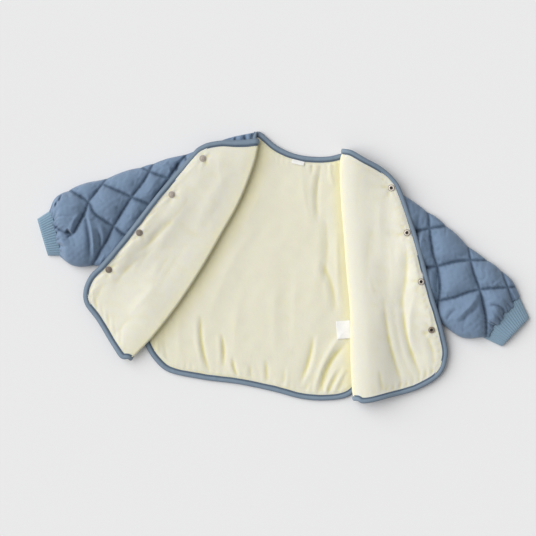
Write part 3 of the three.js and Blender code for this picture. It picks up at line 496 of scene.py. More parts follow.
def make_piece(name, points, faces, finishes, slot, finish_of=None, stands_for=(), hollow=None):
    mesh = bpy.data.meshes.new(name)
    mesh.from_pydata((np.asarray(points).reshape(-1, 3) * MM).tolist(), [], faces)
    for finish in finishes:
        mesh.materials.append(finish)
    if finish_of is not None:
        mesh.polygons.foreach_set("material_index", finish_of)
    shape = bmesh.new()
    shape.from_mesh(mesh)
    bmesh.ops.recalc_face_normals(shape, faces=shape.faces)
    shape.to_mesh(mesh)
    shape.free()
    mesh.shade_smooth()
    # The hollow attribute carries painted shade, which a finish blends into its colour.
    if hollow is not None:
        painted_shade_values = mesh.attributes.new("hollow", "FLOAT", "POINT").data
        painted_shade_values.foreach_set("value", hollow.astype(np.float32))
    piece = put(name, mesh)
    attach(piece, "root")
    if stands_for:
        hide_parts(*stands_for)
    return piece


def cloth_piece(name, lining, shell, finishes, slot, stands_for, hollow=(0, 0)):
    """A padded cloth between two grids of points, with a rim round it."""
    columns, rows = lining.shape[:2]
    count = columns * rows
    index = np.arange(count).reshape(columns, rows)
    rim = np.concatenate([index[0], index[1:, -1], index[-1, -2::-1], index[-2:0:-1, 0]])
    ahead = np.roll(rim, -1)
    faces = grid_faces(columns, rows)
    sides = len(faces)
    faces += grid_faces(columns, rows, first=count)
    faces += np.stack([rim, ahead, ahead + count, rim + count], -1).tolist()
    finish_of = [0] * sides + [1] * (len(faces) - sides)
    points = np.concatenate([lining.reshape(-1, 3), shell.reshape(-1, 3)])
    # hollow holds painted shade, for the lining and for the shell
    hollow = np.concatenate([np.broadcast_to(depth, lining.shape[:2]).ravel() for depth in hollow])
    return make_piece(name, points, faces, finishes, slot, finish_of, stands_for, hollow)


def tube_piece(name, outer, inner, finishes, slot, stands_for, hollow=0):
    """A wall round a hollow, open at both ends; both grids have the same number of points around."""
    around = outer.shape[1]
    first = len(outer) * around
    faces = grid_faces(len(outer), around, around=True)
    sides = len(faces)
    faces += grid_faces(len(inner), around, first=first, around=True)
    finish_of = [0] * sides + [1] * (len(faces) - sides)
    here = np.arange(around)
    ahead = (here + 1) % around
    for ring, within in ((0, first), (first - around, first + (len(inner) - 1) * around)):
        faces += np.stack([ring + here, ring + ahead, within + ahead, within + here], -1).tolist()
        finish_of += [0] * around
    points = np.concatenate([outer.reshape(-1, 3), inner.reshape(-1, 3)])
    # hollow is painted shade on the outside wall; the inside gets none
    painted_shade_values = [np.broadcast_to(hollow, outer.shape[:2]), np.zeros(inner.shape[:2])]
    hollow = np.concatenate([depth.ravel() for depth in painted_shade_values])
    return make_piece(name, points, faces, finishes, slot, finish_of, stands_for, hollow)


def cut_of(grid):
    """Width, length and area, in metres, of the flat cloth that a grid was cut from."""
    across = np.linalg.norm(np.diff(grid, axis=0), axis=-1)
    down = np.linalg.norm(np.diff(grid, axis=1), axis=-1)
    side = np.cross(np.diff(grid, axis=0)[:, :-1], np.diff(grid, axis=1)[:-1])
    area = np.linalg.norm(side, axis=-1).sum()
    return across.sum(0).max() * MM, down.sum(1).max() * MM, area * MM * MM


def declare_cloth(grid):
    width, length, area = cut_of(grid)
    area = min(area, width * length)


def wrapped(rings):
    """A tube's rings with their first point once more, so that the cut goes all round."""
    return np.concatenate([rings, rings[:, :1]], axis=1)


# Finishes

WAVE_SCALE = math.tau / 20        # a wave texture of this scale has bands 1 m apart


class Wire:
    """A value in a finish; arithmetic on it adds Math nodes."""

    def __init__(self, finish, socket):
        self.finish = finish
        self.socket = socket

    def _math(self, operation, *values):
        return self.finish.node("Math", {"operation": operation}, dict(enumerate(values)))

    def __add__(self, other):
        return self._math("ADD", self, other)

    def __radd__(self, other):
        return self._math("ADD", other, self)

    def __mul__(self, other):
        return self._math("MULTIPLY", self, other)

    def __rmul__(self, other):
        return self._math("MULTIPLY", other, self)


class Finish:
    """One material: its nodes, and the numbers that are the same all over it."""

    def __init__(self, name, **numbers):
        self.material = bpy.data.materials.new(name)
        self.material.use_nodes = True
        self.tree = self.material.node_tree
        self.tree.nodes.clear()
        self.shader = self.tree.nodes.new("ShaderNodeBsdfPrincipled")
        output = self.tree.nodes.new("ShaderNodeOutputMaterial")
        self.tree.links.new(self.shader.outputs["BSDF"], output.inputs["Surface"])
        for socket, value in numbers.items():
            self.shader.inputs[socket.replace("_", " ")].default_value = value

    def node(self, kind, settings=None, inputs=None, outlet=0):
        made = self.tree.nodes.new("ShaderNode" + kind)
        for setting, value in (settings or {}).items():
            setattr(made, setting, value)
        for socket, value in (inputs or {}).items():
            if isinstance(value, Wire):
                self.tree.links.new(value.socket, made.inputs[socket])
            else:
                made.inputs[socket].default_value = value
        return Wire(self, made.outputs[outlet])

    def place(self, turn=0.0):
        where = self.node("TexCoord", outlet=3)
        if not turn:
            return where
        return self.node("Mapping", inputs={"Vector": where, "Rotation": (0, 0, math.radians(turn))})

    def mottle(self, size, detail=3.0, roughness=0.5):
        """Soft patches of one size, in metres."""
        values = {"Vector": self.place(), "Scale": 1 / size, "Detail": detail, "Roughness": roughness}
        return self.node("TexNoise", inputs=values)

    def threads(self, pitch, turn, waver=0.6):
        """Evenly spaced threads that waver a little."""
        settings = {"wave_type": "BANDS", "bands_direction": "X"}
        values = {"Vector": self.place(turn), "Scale": WAVE_SCALE / pitch, "Distortion": waver,
                  "Detail": 2.0, "Detail Scale": 1.5}
        return self.node("TexWave", settings, values, outlet=1)

    def blend(self, factor, *colours):
        first, second = [(*colour, 1) if isinstance(colour, tuple) else colour for colour in colours]
        values = {0: factor, 6: first, 7: second}
        return self.node("Mix", {"data_type": "RGBA"}, values, outlet=2)

    def hollow(self):
        """Painted shade: how deep in a crease or stitched valley the cloth lies, as its piece was made."""
        return self.node("Attribute", {"attribute_name": "hollow"}, outlet=2)

    def relief(self, height, depth, strength=1.0):
        return self.node("Bump", inputs={"Height": height, "Distance": depth, "Strength": strength})

    def wear(self, **sockets):
        for socket, wire in sockets.items():
            self.tree.links.new(wire.socket, self.shader.inputs[socket.replace("_", " ")])
        return self.material


def cloth(name, threads, nap, patches, tones, flecks, relief, hollow=None, puckers=None, **numbers):
    """Patches of two tones, flecked with a third by the threads and the nap, and painted shade in the
    hollows.
    """
    finish = Finish(name, **numbers)
    pitch, waver, *turns = threads
    weave = finish.threads(pitch, turns[0], waver)
    for turn in turns[1:]:
        weave = weave * finish.threads(pitch, turn, waver)
    fuzz = finish.mottle(*nap)
    tone = finish.blend(finish.mottle(*patches), *tones[:2])
    colour = finish.blend(weave * flecks[0] + fuzz * flecks[1], tone, tones[2])
    if hollow:
        colour = finish.blend(finish.hollow() * hollow[0], colour, hollow[1])
    height = weave * relief[0] + fuzz
    if puckers:
        height = height + finish.mottle(*puckers) * 1.5
    return finish.wear(Base_Color=colour, Normal=finish.relief(height, *relief[1:]))


def sewing_thread():
    finish = Finish("blue_sewing_thread", Roughness=0.55, Sheen_Weight=0.2, Sheen_Roughness=0.4)
    twist = finish.threads(0.0004, 30)
    colour = finish.blend(twist, (0.08, 0.125, 0.19), (0.12, 0.18, 0.26))
    return finish.wear(Base_Color=colour, Normal=finish.relief(twist, 0.0001, 0.5))


def label_satin():
    finish = Finish("white_label_satin", Roughness=0.5, Sheen_Weight=0.2, Sheen_Roughness=0.3)
    weave = finish.threads(0.0004, 0) * finish.threads(0.0004, 90)
    colour = finish.blend(weave * 0.4 + finish.mottle(0.004) * 0.3, (0.87, 0.865, 0.845), (0.8, 0.79, 0.76))
    return finish.wear(Base_Color=colour, Normal=finish.relief(weave, 0.00015, 0.5))


def snap_metal(name, bright, dull, roughness):
    finish = Finish(name, Metallic=0.6)
    tarnish = finish.mottle(0.0018, 4.0, 0.6)
    scratches = finish.threads(0.0003, 20, 4.0)
    colour = finish.blend(tarnish, bright, dull)
    return finish.wear(
        Base_Color=colour, Roughness=roughness + tarnish * 0.2 + scratches * 0.05,
        Normal=finish.relief(scratches + tarnish, 0.00003, 0.4))


# A near-black finish for the floor of a socket's well: painted shade in its hole
def socket_well_painted_shade():
    finish = Finish("socket_well_painted_shade", Metallic=0.6)
    speckle = finish.mottle(0.001)
    colour = finish.blend(speckle, (0.02, 0.017, 0.014), (0.05, 0.042, 0.034))
    return finish.wear(Base_Color=colour, Roughness=0.5 + speckle * 0.3)


def studio_paper():
    finish = Finish("pale_floor", Roughness=0.9)
    grain = finish.mottle(0.002, 3.0)
    cloudy = finish.mottle(0.6, 2.0)
    colour = finish.blend(grain * 0.3 + cloudy * 0.4, (0.815, 0.815, 0.818), (0.795, 0.795, 0.80))
    return finish.wear(Base_Color=colour, Normal=finish.relief(grain, 0.00005, 0.3))


# The hollow colours of the lining, shell and binding are painted shade, blended in as deep as each piece's
# hollow attribute says.
LINING = cloth(
    "cream_cotton_lining", threads=(0.0007, 0.6, 0, 90), nap=(0.0016, 4.0, 0.65), patches=(0.05, 2.0),
    tones=((0.80, 0.785, 0.68), (0.78, 0.76, 0.645), (0.75, 0.73, 0.60)), flecks=(0.25, 0.25),
    relief=(0.35, 0.0004, 0.5), hollow=(0.8, (0.71, 0.64, 0.25)), Roughness=0.92, Sheen_Weight=0.12,
    Sheen_Roughness=0.6, Subsurface_Weight=0.4, Subsurface_Scale=0.004, Subsurface_Radius=(1.0, 0.85, 0.4))
SHELL = cloth(
    "blue_quilted_shell", threads=(0.0006, 0.6, 38), nap=(0.0014, 5.0, 0.7), patches=(0.03, 3.0),
    tones=((0.133, 0.21, 0.32), (0.161, 0.237, 0.353), (0.189, 0.265, 0.378)), flecks=(0.15, 0.5),
    relief=(0.4, 0.00045, 0.55), hollow=(0.82, (0.04, 0.075, 0.13)), Roughness=0.8, Sheen_Weight=0.35,
    Sheen_Roughness=0.45)
BINDING = cloth(
    "blue_bias_binding", threads=(0.0007, 0.6, 45, -45), nap=(0.002, 4.0, 0.65), patches=(0.02, 2.0),
    tones=((0.15, 0.212, 0.285), (0.19, 0.255, 0.33), (0.225, 0.29, 0.365)), flecks=(0.2, 0.5),
    relief=(0.3, 0.0005, 0.55), hollow=(0.8, (0.05, 0.082, 0.125)), puckers=(0.006, 2.0), Roughness=0.78,
    Sheen_Weight=0.25, Sheen_Roughness=0.5)
KNIT = cloth(
    "blue_rib_knit", threads=(0.0011, 2.0, 8), nap=(0.0012, 4.0, 0.7), patches=(0.012, 2.0),
    tones=((0.175, 0.285, 0.385), (0.215, 0.33, 0.435), (0.26, 0.375, 0.475)), flecks=(0.25, 0.5),
    relief=(0.6, 0.0006, 0.6), Roughness=0.85, Sheen_Weight=0.35, Sheen_Roughness=0.5)
THREAD = sewing_thread()
SATIN = label_satin()
SOCKET_WELL_SHADE = socket_well_painted_shade()
METALS = {name: snap_metal(name, *tones) for name, tones in {
    "pale_nickel": ((0.78, 0.72, 0.63), (0.66, 0.60, 0.52), 0.4),
    "dark_brown_rim": ((0.34, 0.285, 0.225), (0.25, 0.205, 0.16), 0.5),
    "dull_pewter": ((0.55, 0.50, 0.45), (0.47, 0.42, 0.37), 0.6),
    "aged_bronze": ((0.3, 0.25, 0.21), (0.21, 0.175, 0.145), 0.46),
    "worn_bronze": ((0.40, 0.33, 0.26), (0.30, 0.24, 0.19), 0.46),
}.items()}


# Stitches and binding

def stitch_run(path, ups, pitch, length, thick):
    """Points and faces of a row of stitches that lie along a path."""
    total = travelled(path)
    count = int(total[-1] / pitch)
    if count < 1:
        return np.zeros((0, 3)), []
    centres = (np.arange(count) + 0.5) * total[-1] / count
    along = straight(total, path)
    at = along(centres)
    run = unit(along(centres + 0.8) - along(centres - 0.8))
    across = unit(np.cross(run, straight(total, ups)(centres)))
    up = np.cross(across, run)
    rings = []
    for section in STITCH_SECTIONS:
        for angle in np.arange(STITCH_SIDES) * math.tau / STITCH_SIDES:
            out = across * math.cos(angle) + up * (math.sin(angle) + section["lift"])
            rings.append(at + run * section["share"] * length + out * section["girth"] * thick / 2)
    corners = len(rings)
    ends = [list(range(STITCH_SIDES)), list(range(corners - STITCH_SIDES, corners))]
    one = grid_faces(len(STITCH_SECTIONS), STITCH_SIDES, around=True) + ends
    faces = [[corner + corners * k for corner in face] for k in range(count) for face in one]
    return np.stack(rings, 1).reshape(-1, 3), faces


def stitches_piece(name, runs):
    return make_piece(name, *joined(runs), [THREAD], "binding")


def resampled(path, companions, pitch):
    total = travelled(path)
    at = np.linspace(0, total[-1], int(total[-1] / pitch) + 1)
    return [straight(total, line)(at) for line in (path, *companions)]


def smoothed_line(line, passes):
    for _ in range(passes):
        line = np.vstack([line[:1], (line[:-2] + 2 * line[1:-1] + line[2:]) / 4, line[-1:]])
    return line


def binding_profile():
    """A folded binding's outside, as distances inward and up, from the lining round to the shell."""
    half = BOUND_THICKNESS / 2
    nose = half + BINDING_STANDS_OFF
    upper = [(BINDING_WIDTH + point["inward"], half + point["up"]) for point in BINDING_FOLD]
    upper.append((BINDING_CREST[0], nose + BINDING_CREST[1]))
    angles = np.linspace(math.pi / 2, -math.pi / 2, 9)
    turn = [(half - nose * math.cos(a), nose * math.sin(a)) for a in angles]
    return upper + turn + [(inward, -up) for inward, up in reversed(upper)]


def widened(name, spots):
    """How much wider than elsewhere a binding is folded."""
    wider = WIDER_BINDING.get(name)
    if wider is None:
        return np.zeros(spots.shape[:-1])
    away = np.linalg.norm(spots - wider["at"], axis=-1)
    return wider["by"] * (1 - ease(away / wider["reach"]))


def binding_rings(name, profile, edge, inward, up, tapers_over):
    """Sections of a folded binding: its outside, then its inside round the cloth that it holds."""
    spots = edge[:, :2]
    swell = 1 + uneven_cloth("binding_height", spots)
    sway = uneven_cloth("binding_width", spots)
    extra = widened(name, spots)
    to_go = np.linalg.norm(edge[-1] - edge, axis=-1)
    slim = SLIMMEST_BINDING + (1 - SLIMMEST_BINDING) * ease(to_go / tapers_over) if tapers_over else 1
    half = BOUND_THICKNESS / 2
    rings = []
    for s, h in profile:
        wide = (s + np.where(s > BINDING_WIDTH / 2, sway, 0) + extra * max(s, 0) / BINDING_WIDTH) * slim
        high = h * np.where(abs(h) > half + 0.6, swell, 1)
        rings.append(edge + inward * np.asarray(wide)[..., None] + up * np.asarray(high)[..., None])
    off_nose, off_outside = BINDING_INSIDE
    inner, outer = off_nose, BINDING_WIDTH - off_outside
    for s, h in ((outer, -1), (inner, -1), (inner, 1), (outer, 1)):
        wide = np.broadcast_to(s * slim, len(edge))
        rings.append(edge + inward * wide[:, None] + up * h * (half - off_outside))
    rings = np.stack(rings, 1)
    rings[..., 2] = np.maximum(rings[..., 2], OFF_FLOOR)
    return rings


def binding_piece(name, middle, normal, route, stands_for, tapers_over=0):
    """Binding folded round a cloth's edge, along a route of its grid points, with its stitching."""
    columns, rows = middle.shape[:2]
    i, j = np.array(route).T
    inside = middle[np.minimum(i, columns - 1 - BINDING_AIM), np.clip(j, BINDING_AIM, rows - 1 - BINDING_AIM)]
    edge, inside, up = resampled(middle[i, j], (inside, normal[i, j]), BINDING_STEP)
    edge = smoothed_line(edge, 3)
    up = unit(smoothed_line(up, 6))
    run = unit(np.gradient(edge, axis=0))
    inward = inside - edge
    inward = inward - run * (inward * run).sum(-1, keepdims=True)
    inward = unit(smoothed_line(unit(inward - up * (inward * up).sum(-1, keepdims=True)), 4))
    profile = binding_profile()
    rings = binding_rings(name, profile, edge, inward, up, tapers_over)
    around = rings.shape[1]
    faces = grid_faces(len(rings), around, around=True)
    faces += [list(range(around)), [(len(rings) - 1) * around + k for k in range(around)]]
    # Painted shade on the binding: along its stitched inner edge, and less round its nose
    shade_to_paint = [max(ease((s - BINDING_WIDTH + 3.3) / 1.6), 0.6 * ease((1.2 - s) / 2)) for s, _ in profile]
    hollow = np.broadcast_to(shade_to_paint + [0] * (around - len(profile)), rings.shape[:2]).ravel()
    piece = make_piece(name, rings, faces, [BINDING], "binding", None, stands_for, hollow)
    dip, lift = 4, 0.16 * up[1:-1]
    runs = [stitch_run(rings[1:-1, dip] + lift, up[1:-1], **BODY_STITCH),
            stitch_run(rings[1:-1, len(profile) - 1 - dip] - lift, -up[1:-1], **BODY_STITCH)]
    stitches = stitches_piece(f"{name}_stitches", runs)


def past_binding(to_edge, change):
    """0 under the binding, growing to 1 past it."""
    starts, over = change
    return ease((to_edge - BINDING_WIDTH - starts) / over)


def pressed_half(to_edge):
    """Half the cloth's thickness, pressed thin under the binding."""
    pressed, full = BOUND_THICKNESS / 2, PANEL_THICKNESS / 2
    return pressed + (full - pressed) * past_binding(to_edge, THICKENS)


def gathers(spots, line, depth):
    """Short puckers where the cloth is eased into the binding."""
    away = distance_to(spots, line)
    ripple = np.sin(spots[..., 0] * math.tau / 9.5 + 2.2 * unevenness(spots, 60, 31))
    uneven = 0.5 + 0.5 * unevenness(spots, 45, 32)
    return depth * ripple * np.clip(uneven, 0.05, 1) * fading(away - BINDING_WIDTH, 9)


def edge_puckers(spots, line):
    away = distance_to(spots, line)
    along = spots[..., 1] - 0.6 * spots[..., 0]
    return np.sin(along * math.tau / 11 + 2 * unevenness(spots, 50, 41)) * fading(away - BINDING_WIDTH, 7)


def snap_pull(places, spots):
    """The cloth dips under each snap and puckers round it."""
    height = np.zeros(spots.shape[:-1])
    for place in places:
        dx, dy = spots[..., 0] - place["x"], spots[..., 1] - place["y"]
        reach = np.hypot(dx, dy)
        puckers = np.cos(5 * np.arctan2(dy, dx) + place["x"])
        height += 0.32 * puckers * fading(reach - 10, 5) - 0.75 * fading(reach, 7.5)
    return height


def squares(spots):
    """Stitched squares of a body panel: 0 on a stitched line, 1 in the middle of a square."""
    share = np.ones(spots.shape[:-1])
    for angle in np.radians(QUILT_TURNS):
        phase = (spots[..., 0] * math.cos(angle) + spots[..., 1] * math.sin(angle)) / (2 * QUILT_HALF_PITCH)
        share *= np.abs(np.sin(np.pi * phase))
    return share**QUILT_FULLNESS


# Back

def make_back(fronts_below):
    stops = (0, UNDERARM_SHARE, 1)
    sides = [straight(stops, SEAMS[side]) for side in ("right", "left")]
    neck, hem = curve_through(BACK_NECK), curve_through(BACK_HEM)
    spots = patch(*sides, neck, hem, *map(even, BACK_CELLS))
    neck_line, hem_line = drawn(neck, "back_neck"), drawn(hem, "back_hem")
    to_edge = np.minimum(distance_to(spots, neck_line), distance_to(spots, hem_line))
    half = pressed_half(to_edge)
    free = past_binding(to_edge, BACK_RISES)
    bottom = BACK_EDGE_BOTTOM * (1 - free)
    top = bottom + 2 * half + free * (
        0.85 * creased(BACK_CREASES, spots) + uneven_cloth("back", spots)
        + gathers(spots, hem_line, 0.75) + gathers(spots, neck_line, 0.5))
    for below in fronts_below:
        top = np.minimum(top, heights_on(below, spots, upwards=True) - CLEARANCE)
    top = np.maximum(top, bottom + BOUND_THICKNESS)
    lining = np.dstack([spots, top])
    # quilted sets how deep the shell's stitched lines sink, and also the painted shade in them
    quilted = free * (1 - squares(spots)) ** 3
    shell = np.dstack([spots, bottom + SEAM_GROOVE * quilted])
    # Painted shade on the back: a little all over, more beside each front's fold, and in its creases
    back_shade_to_paint = np.full(top.shape, PAINTED_SHADE_OF_BACK)
    for name, (depth, reach) in PAINTED_SHADE_BESIDE_FOLD.items():
        beside_front = distance_to(spots, drawn(FRONTS[name]["fold"], "beside_fold"))
        back_shade_to_paint = np.maximum(back_shade_to_paint, depth * fading(beside_front, reach))
    painted_shade_values = (np.maximum(painted_crease_shade(top, 16, 0.9), back_shade_to_paint), quilted)
    panel = cloth_piece("back_panel", lining, shell, [LINING, SHELL], "lining", ["back"], painted_shade_values)
    declare_cloth(np.dstack([spots, np.zeros(top.shape)]))
    middle = np.dstack([spots, bottom + half])
    upright = np.zeros_like(middle) + (0, 0, 1)
    columns, rows = spots.shape[:2]
    for name, row in (("back_neck_binding", 0), ("back_hem_binding", rows - 1)):
        route = [(i, row) for i in range(columns)]
        binding_piece(f"{name}_tape", middle, upright, route, [name])
    return lining


# Fronts

def turn_lines(front):
    """The middle of the fold, and the way in which the fold bulges, by the share from neck to hem."""
    fold = curve_through(front["fold"])
    back_off = front["turn_radius"] + PANEL_THICKNESS / 2

    def outward(share):
        run = unit(fold(np.minimum(share + 0.01, 1)) - fold(np.maximum(share - 0.01, 0)))
        return front["side"] * np.stack([run[..., 1], -run[..., 0]], -1)

    return (lambda share: fold(share) - back_off * outward(share)), outward


def roll_height(front, reach, out):
    """Height of the cloth's middle over the fold, rounding off from its edge to a crest some way in."""
    short = np.clip((front["crest_at"] + out) / (front["crest_at"] + reach), 0, 1)
    return UNDER_FOLD_MIDDLE + front["turn_radius"] * (1 + np.sqrt(1 - short**2))


def fold_pinch(front, off_fold):
    """Share of its thickness that the cloth keeps near the fold."""
    pinch = front["turn_half"] / (PANEL_THICKNESS / 2)
    return pinch + (1 - pinch) * ease(off_fold / 10)


def fold_turn(front, centre, outward, reach, down):
    """The middle of the cloth round the fold, from under it to over it."""
    radius = front["turn_radius"]
    turn = []
    for angle in np.pi * even(TURN_CELLS)[1:-1]:
        out = reach * math.sin(angle) ** front["turn_round"]
        level = roll_height(front, reach, out)
        if angle < np.pi / 2:
            level = UNDER_FOLD_MIDDLE + radius * (1 - math.cos(angle) ** front["turn_round"])
        turn.append(np.column_stack([centre(down) + outward(down) * out, np.full(len(down), level)]))
    return np.stack(turn)


def bound_route(front, columns, rows, fold_column):
    """Grid points along a front's bound edges: its hem, its front edge and its neck."""
    starts = {"seam": 0, "fold": fold_column}
    hem_from, neck_from = starts[front["hem_bound_from"]], starts[front["neck_bound_from"]]
    hem = [(i, rows - 1) for i in range(hem_from, columns)]
    edge = [(columns - 1, j) for j in range(rows - 2, 0, -1)]
    return hem + edge + [(i, 0) for i in range(columns - 1, neck_from - 1, -1)]


def make_front(name, surface):
    """A front from the side seam to the fold, round it and out over the sleeve, with its binding."""
    front = FRONTS[name]
    panel_name, tape = f"{name}_front_panel", f"{name}_front_binding_tape"
    down = even(FLAP_CELLS[1])
    seam = straight((0, UNDERARM_SHARE, 1), SEAMS[name])
    centre, outward = turn_lines(front)
    centre_line = drawn(centre, "fold")
    neck_end, hem_end = np.float64(0), np.float64(1)
    ends = [straight((0, 1), [seam(share), centre(share)]) for share in (neck_end, hem_end)]
    under_spots = patch(seam, centre, *ends, even(UNDER_CELLS), down)
    under = np.dstack([under_spots, np.full(under_spots.shape[:2], UNDER_FOLD_MIDDLE)])
    reach = front["turn_radius"] + PANEL_THICKNESS / 2 - front["turn_half"]
    turn = fold_turn(front, centre, outward, reach, down)
    neck = curve_through([centre(neck_end), *front["neck"]])
    hem = curve_through([centre(hem_end), *front["hem"][::-1]])
    edge = curve_through(front["edge"])
    flap_spots = patch(centre, edge, neck, hem, even(FLAP_CELLS[0]), down)
    edge_line, neck_line, hem_line = drawn(edge, "edge"), drawn(neck, "neck"), drawn(hem, "hem")
    to_edge = np.min([distance_to(flap_spots, line) for line in (edge_line, neck_line, hem_line)], axis=0)
    to_tape = to_edge - widened(tape, flap_spots)
    off_fold = distance_to(flap_spots, centre_line)
    flap_half = pressed_half(to_tape) * fold_pinch(front, off_fold)
    top = soften(filled(heights_on(surface, flap_spots)), 10)
    fold_top = roll_height(front, reach, -off_fold) + front["turn_half"]
    from_fold = ease((off_fold - front["crest_at"] / 2) / front["settles_over"])
    flap = np.dstack([flap_spots, fold_top + (top - fold_top) * from_fold - flap_half])
    middle = np.concatenate([under, turn, flap])
    spots = middle[..., :2]
    first = len(under) + len(turn)
    half = np.full(middle.shape[:2], PANEL_THICKNESS / 2)
    half[first:] = flap_half
    half[:first] = pressed_half(np.minimum(*[distance_to(spots[:first], under_spots[:, k]) for k in (0, -1)]))
    half[:len(under)] *= fold_pinch(front, distance_to(under_spots, centre_line))
    to_end = np.minimum(down, 1 - down) * travelled(centre(down))[-1]
    half[len(under):first] = pressed_half(to_end) * fold_pinch(front, 0)
    normal = unit(soften(normals_of(middle, front["side"]), 2))
    free = np.zeros(half.shape)
    free[first:] = past_binding(to_tape, FRONT_RISES) * np.minimum(1, 0.25 + 2 * from_fold)
    rise = free * (
        0.72 * creased(FRONT_CREASES[name], spots) + snap_pull(SNAP_PLACES[name], spots)
        + uneven_cloth("fronts", spots) + 0.7 * gathers(spots, hem_line, 1.0)
        + 0.35 * edge_puckers(spots, edge_line))
    puffs = np.zeros(half.shape)
    puffs[first:] = QUILT_LOFT_PANEL * free[first:] * squares(flap_spots)
    # Painted shade on the lining near the fold's edge and in creases, and in the stitched lines of the shell
    depth, fold_width = front["fold_edge_painted_shade"]
    fold_shade_to_paint = depth * fading(distance_to(spots, drawn(front["fold"], "fold")), fold_width)
    painted_shade_values = (np.maximum(painted_crease_shade(rise, 14, 0.6), fold_shade_to_paint), np.where(puffs > 0, (1 - squares(spots)) ** 3, 0))
    lining = middle + normal * (half + np.maximum(rise, -half))[..., None]
    shell = middle - normal * (half + puffs)[..., None]
    panel = cloth_piece(panel_name, lining, shell, [LINING, SHELL], "lining", [f"{name}_front"], painted_shade_values)
    declare_cloth(middle)
    route = bound_route(front, *middle.shape[:2], len(under) + len(turn) // 2)
    stands_for = [f"{name}_front_binding"]
    binding_piece(tape, middle, normal, route, stands_for, front["tape_tapers_over"])
    return lining[first:]


# Sleeves

def pillow(distance):
    """How full the wadding stands beside a stitched line."""
    share = np.clip(distance / QUILT_HALF_PITCH, 0, 1)
    return (1 - (1 - share) ** 2) ** 0.72


def sleeve_lines(name):
    sleeve = SLEEVES[name]
    seam = np.array(SEAMS[name], float)
    run = seam[1] - seam[0]
    away = unit(np.array([-run[1], run[0]])) * FRONTS[name]["side"] * SEAM_GAP
    top = curve_through([seam[0] + away, *sleeve["top"]])
    bottom = curve_through([seam[1] + away, *sleeve["bottom"]])
    return top, bottom


def stitched_distances(name, spots):
    """Distances to the nearest lengthwise and the nearest crosswise stitched line."""
    return [np.min([distance_to(spots, drawn(line, "quilting")) for line in SLEEVES[name][way]], axis=0)
            for way in QUILTING]


def sleeve_height(name, along):
    k = np.clip(np.searchsorted(HEIGHT_STOPS, along), 1, len(HEIGHT_STOPS) - 1)
    share = (along - HEIGHT_STOPS[k - 1]) / (HEIGHT_STOPS[k] - HEIGHT_STOPS[k - 1])
    heights = np.array(SLEEVES[name]["height"], float)
    return heights[k - 1] + (heights[k] - heights[k - 1]) * (1 - np.cos(np.pi * share)) / 2


def dome(across):
    return np.sqrt(np.maximum(1 - np.abs(2 * across - 1) ** 2.6, 0))


def cuff_height(across):
    return CUFF_HEIGHT * (0.35 + 0.65 * dome(across))


def cuff_gathers(name, along, across, length):
    """Pleats that run into the cuff, of uneven place, reach and depth."""
    chance = np.random.default_rng(PLEAT_SEEDS[name])
    rise = np.zeros(np.broadcast(along, across).shape)
    for k in range(PLEATS):
        centre = (k + 0.5 + chance.uniform(-0.28, 0.28)) / PLEATS
        reach = chance.uniform(10, 34)
        depth = chance.uniform(0.7, 2.6)
        width = chance.uniform(0.012, 0.026)
        slant = chance.uniform(-0.05, 0.05)
        back = (1 - along) * length / reach
        beside = (across - centre - slant * back) / width
        rise += depth * fading(back, 1) * (0.5 * fading(beside - 2, 1) - fading(beside, 1))
    return rise


def puffed_edge(name, edge, outward, along):
    """The outline swells beside each square and is drawn in where a stitched line meets it."""
    near = stitched_distances(name, edge)
    swell = pillow(near[0]) * pillow(near[1]) - 0.4
    fade = ease((along - 0.2) / 0.2) * (1 - ease((along - 0.9) / 0.1))
    return edge + outward * (OUTLINE_BULGE * swell * fade)[:, None]


def overhang(name, across):
    """How far the gathered end of a sleeve falls over its cuff."""
    fall, depth, turn = OVERHANGS[name]
    lobes = np.sin(math.tau * 3.3 * across + turn) + 0.6 * np.sin(math.tau * 7.1 * across + 2 * turn)
    return fall + depth * lobes


def sleeve_grid(name, cells):
    """Rings of the sleeve's outside at rest, without its puffs: top, far side, underside, near side."""
    top_edge, bottom_edge = sleeve_lines(name)
    along = even(cells["along"])
    start, end = top_edge(along), bottom_edge(along)
    outward = unit(end - start)
    ahead = unit(np.mean(SLEEVES[name]["cuff"], axis=0) - (start[-1] + end[-1]) / 2)
    start, end = puffed_edge(name, start, -outward, along), puffed_edge(name, end, outward, along)
    height = sleeve_height(name, along)
    side = SIDE_SHARE * height
    tuck = UNDERSIDE_TUCK / np.linalg.norm(end - start, axis=-1)
    share = even(cells["top"])
    upper = 0.45 * share + 0.55 * (1 - np.cos(np.pi * share)) / 2
    corner = [(tuck * (1 - math.cos(angle)), side * (1 - math.sin(angle)))
              for angle in np.pi / 2 * even(cells["round"])[1:]]
    around = [(np.full(len(along), u), side + (height - side) * dome(u)) for u in upper]
    around += [(1 - inward, level) for inward, level in corner]
    around += [(1 - tuck - (1 - 2 * tuck) * u, np.zeros(len(along))) for u in even(cells["bottom"])[1:]]
    around += corner[-2::-1]
    across, rise = (np.stack(values, 1) for values in zip(*around))
    spots = start[:, None] + (end - start)[:, None] * across[..., None]
    lap = overhang(name, across) * np.clip(rise / side[:, None], 0, 1) * ease((along - 0.78) / 0.22)[:, None]
    return np.dstack([spots + lap[..., None] * ahead, rise]), across


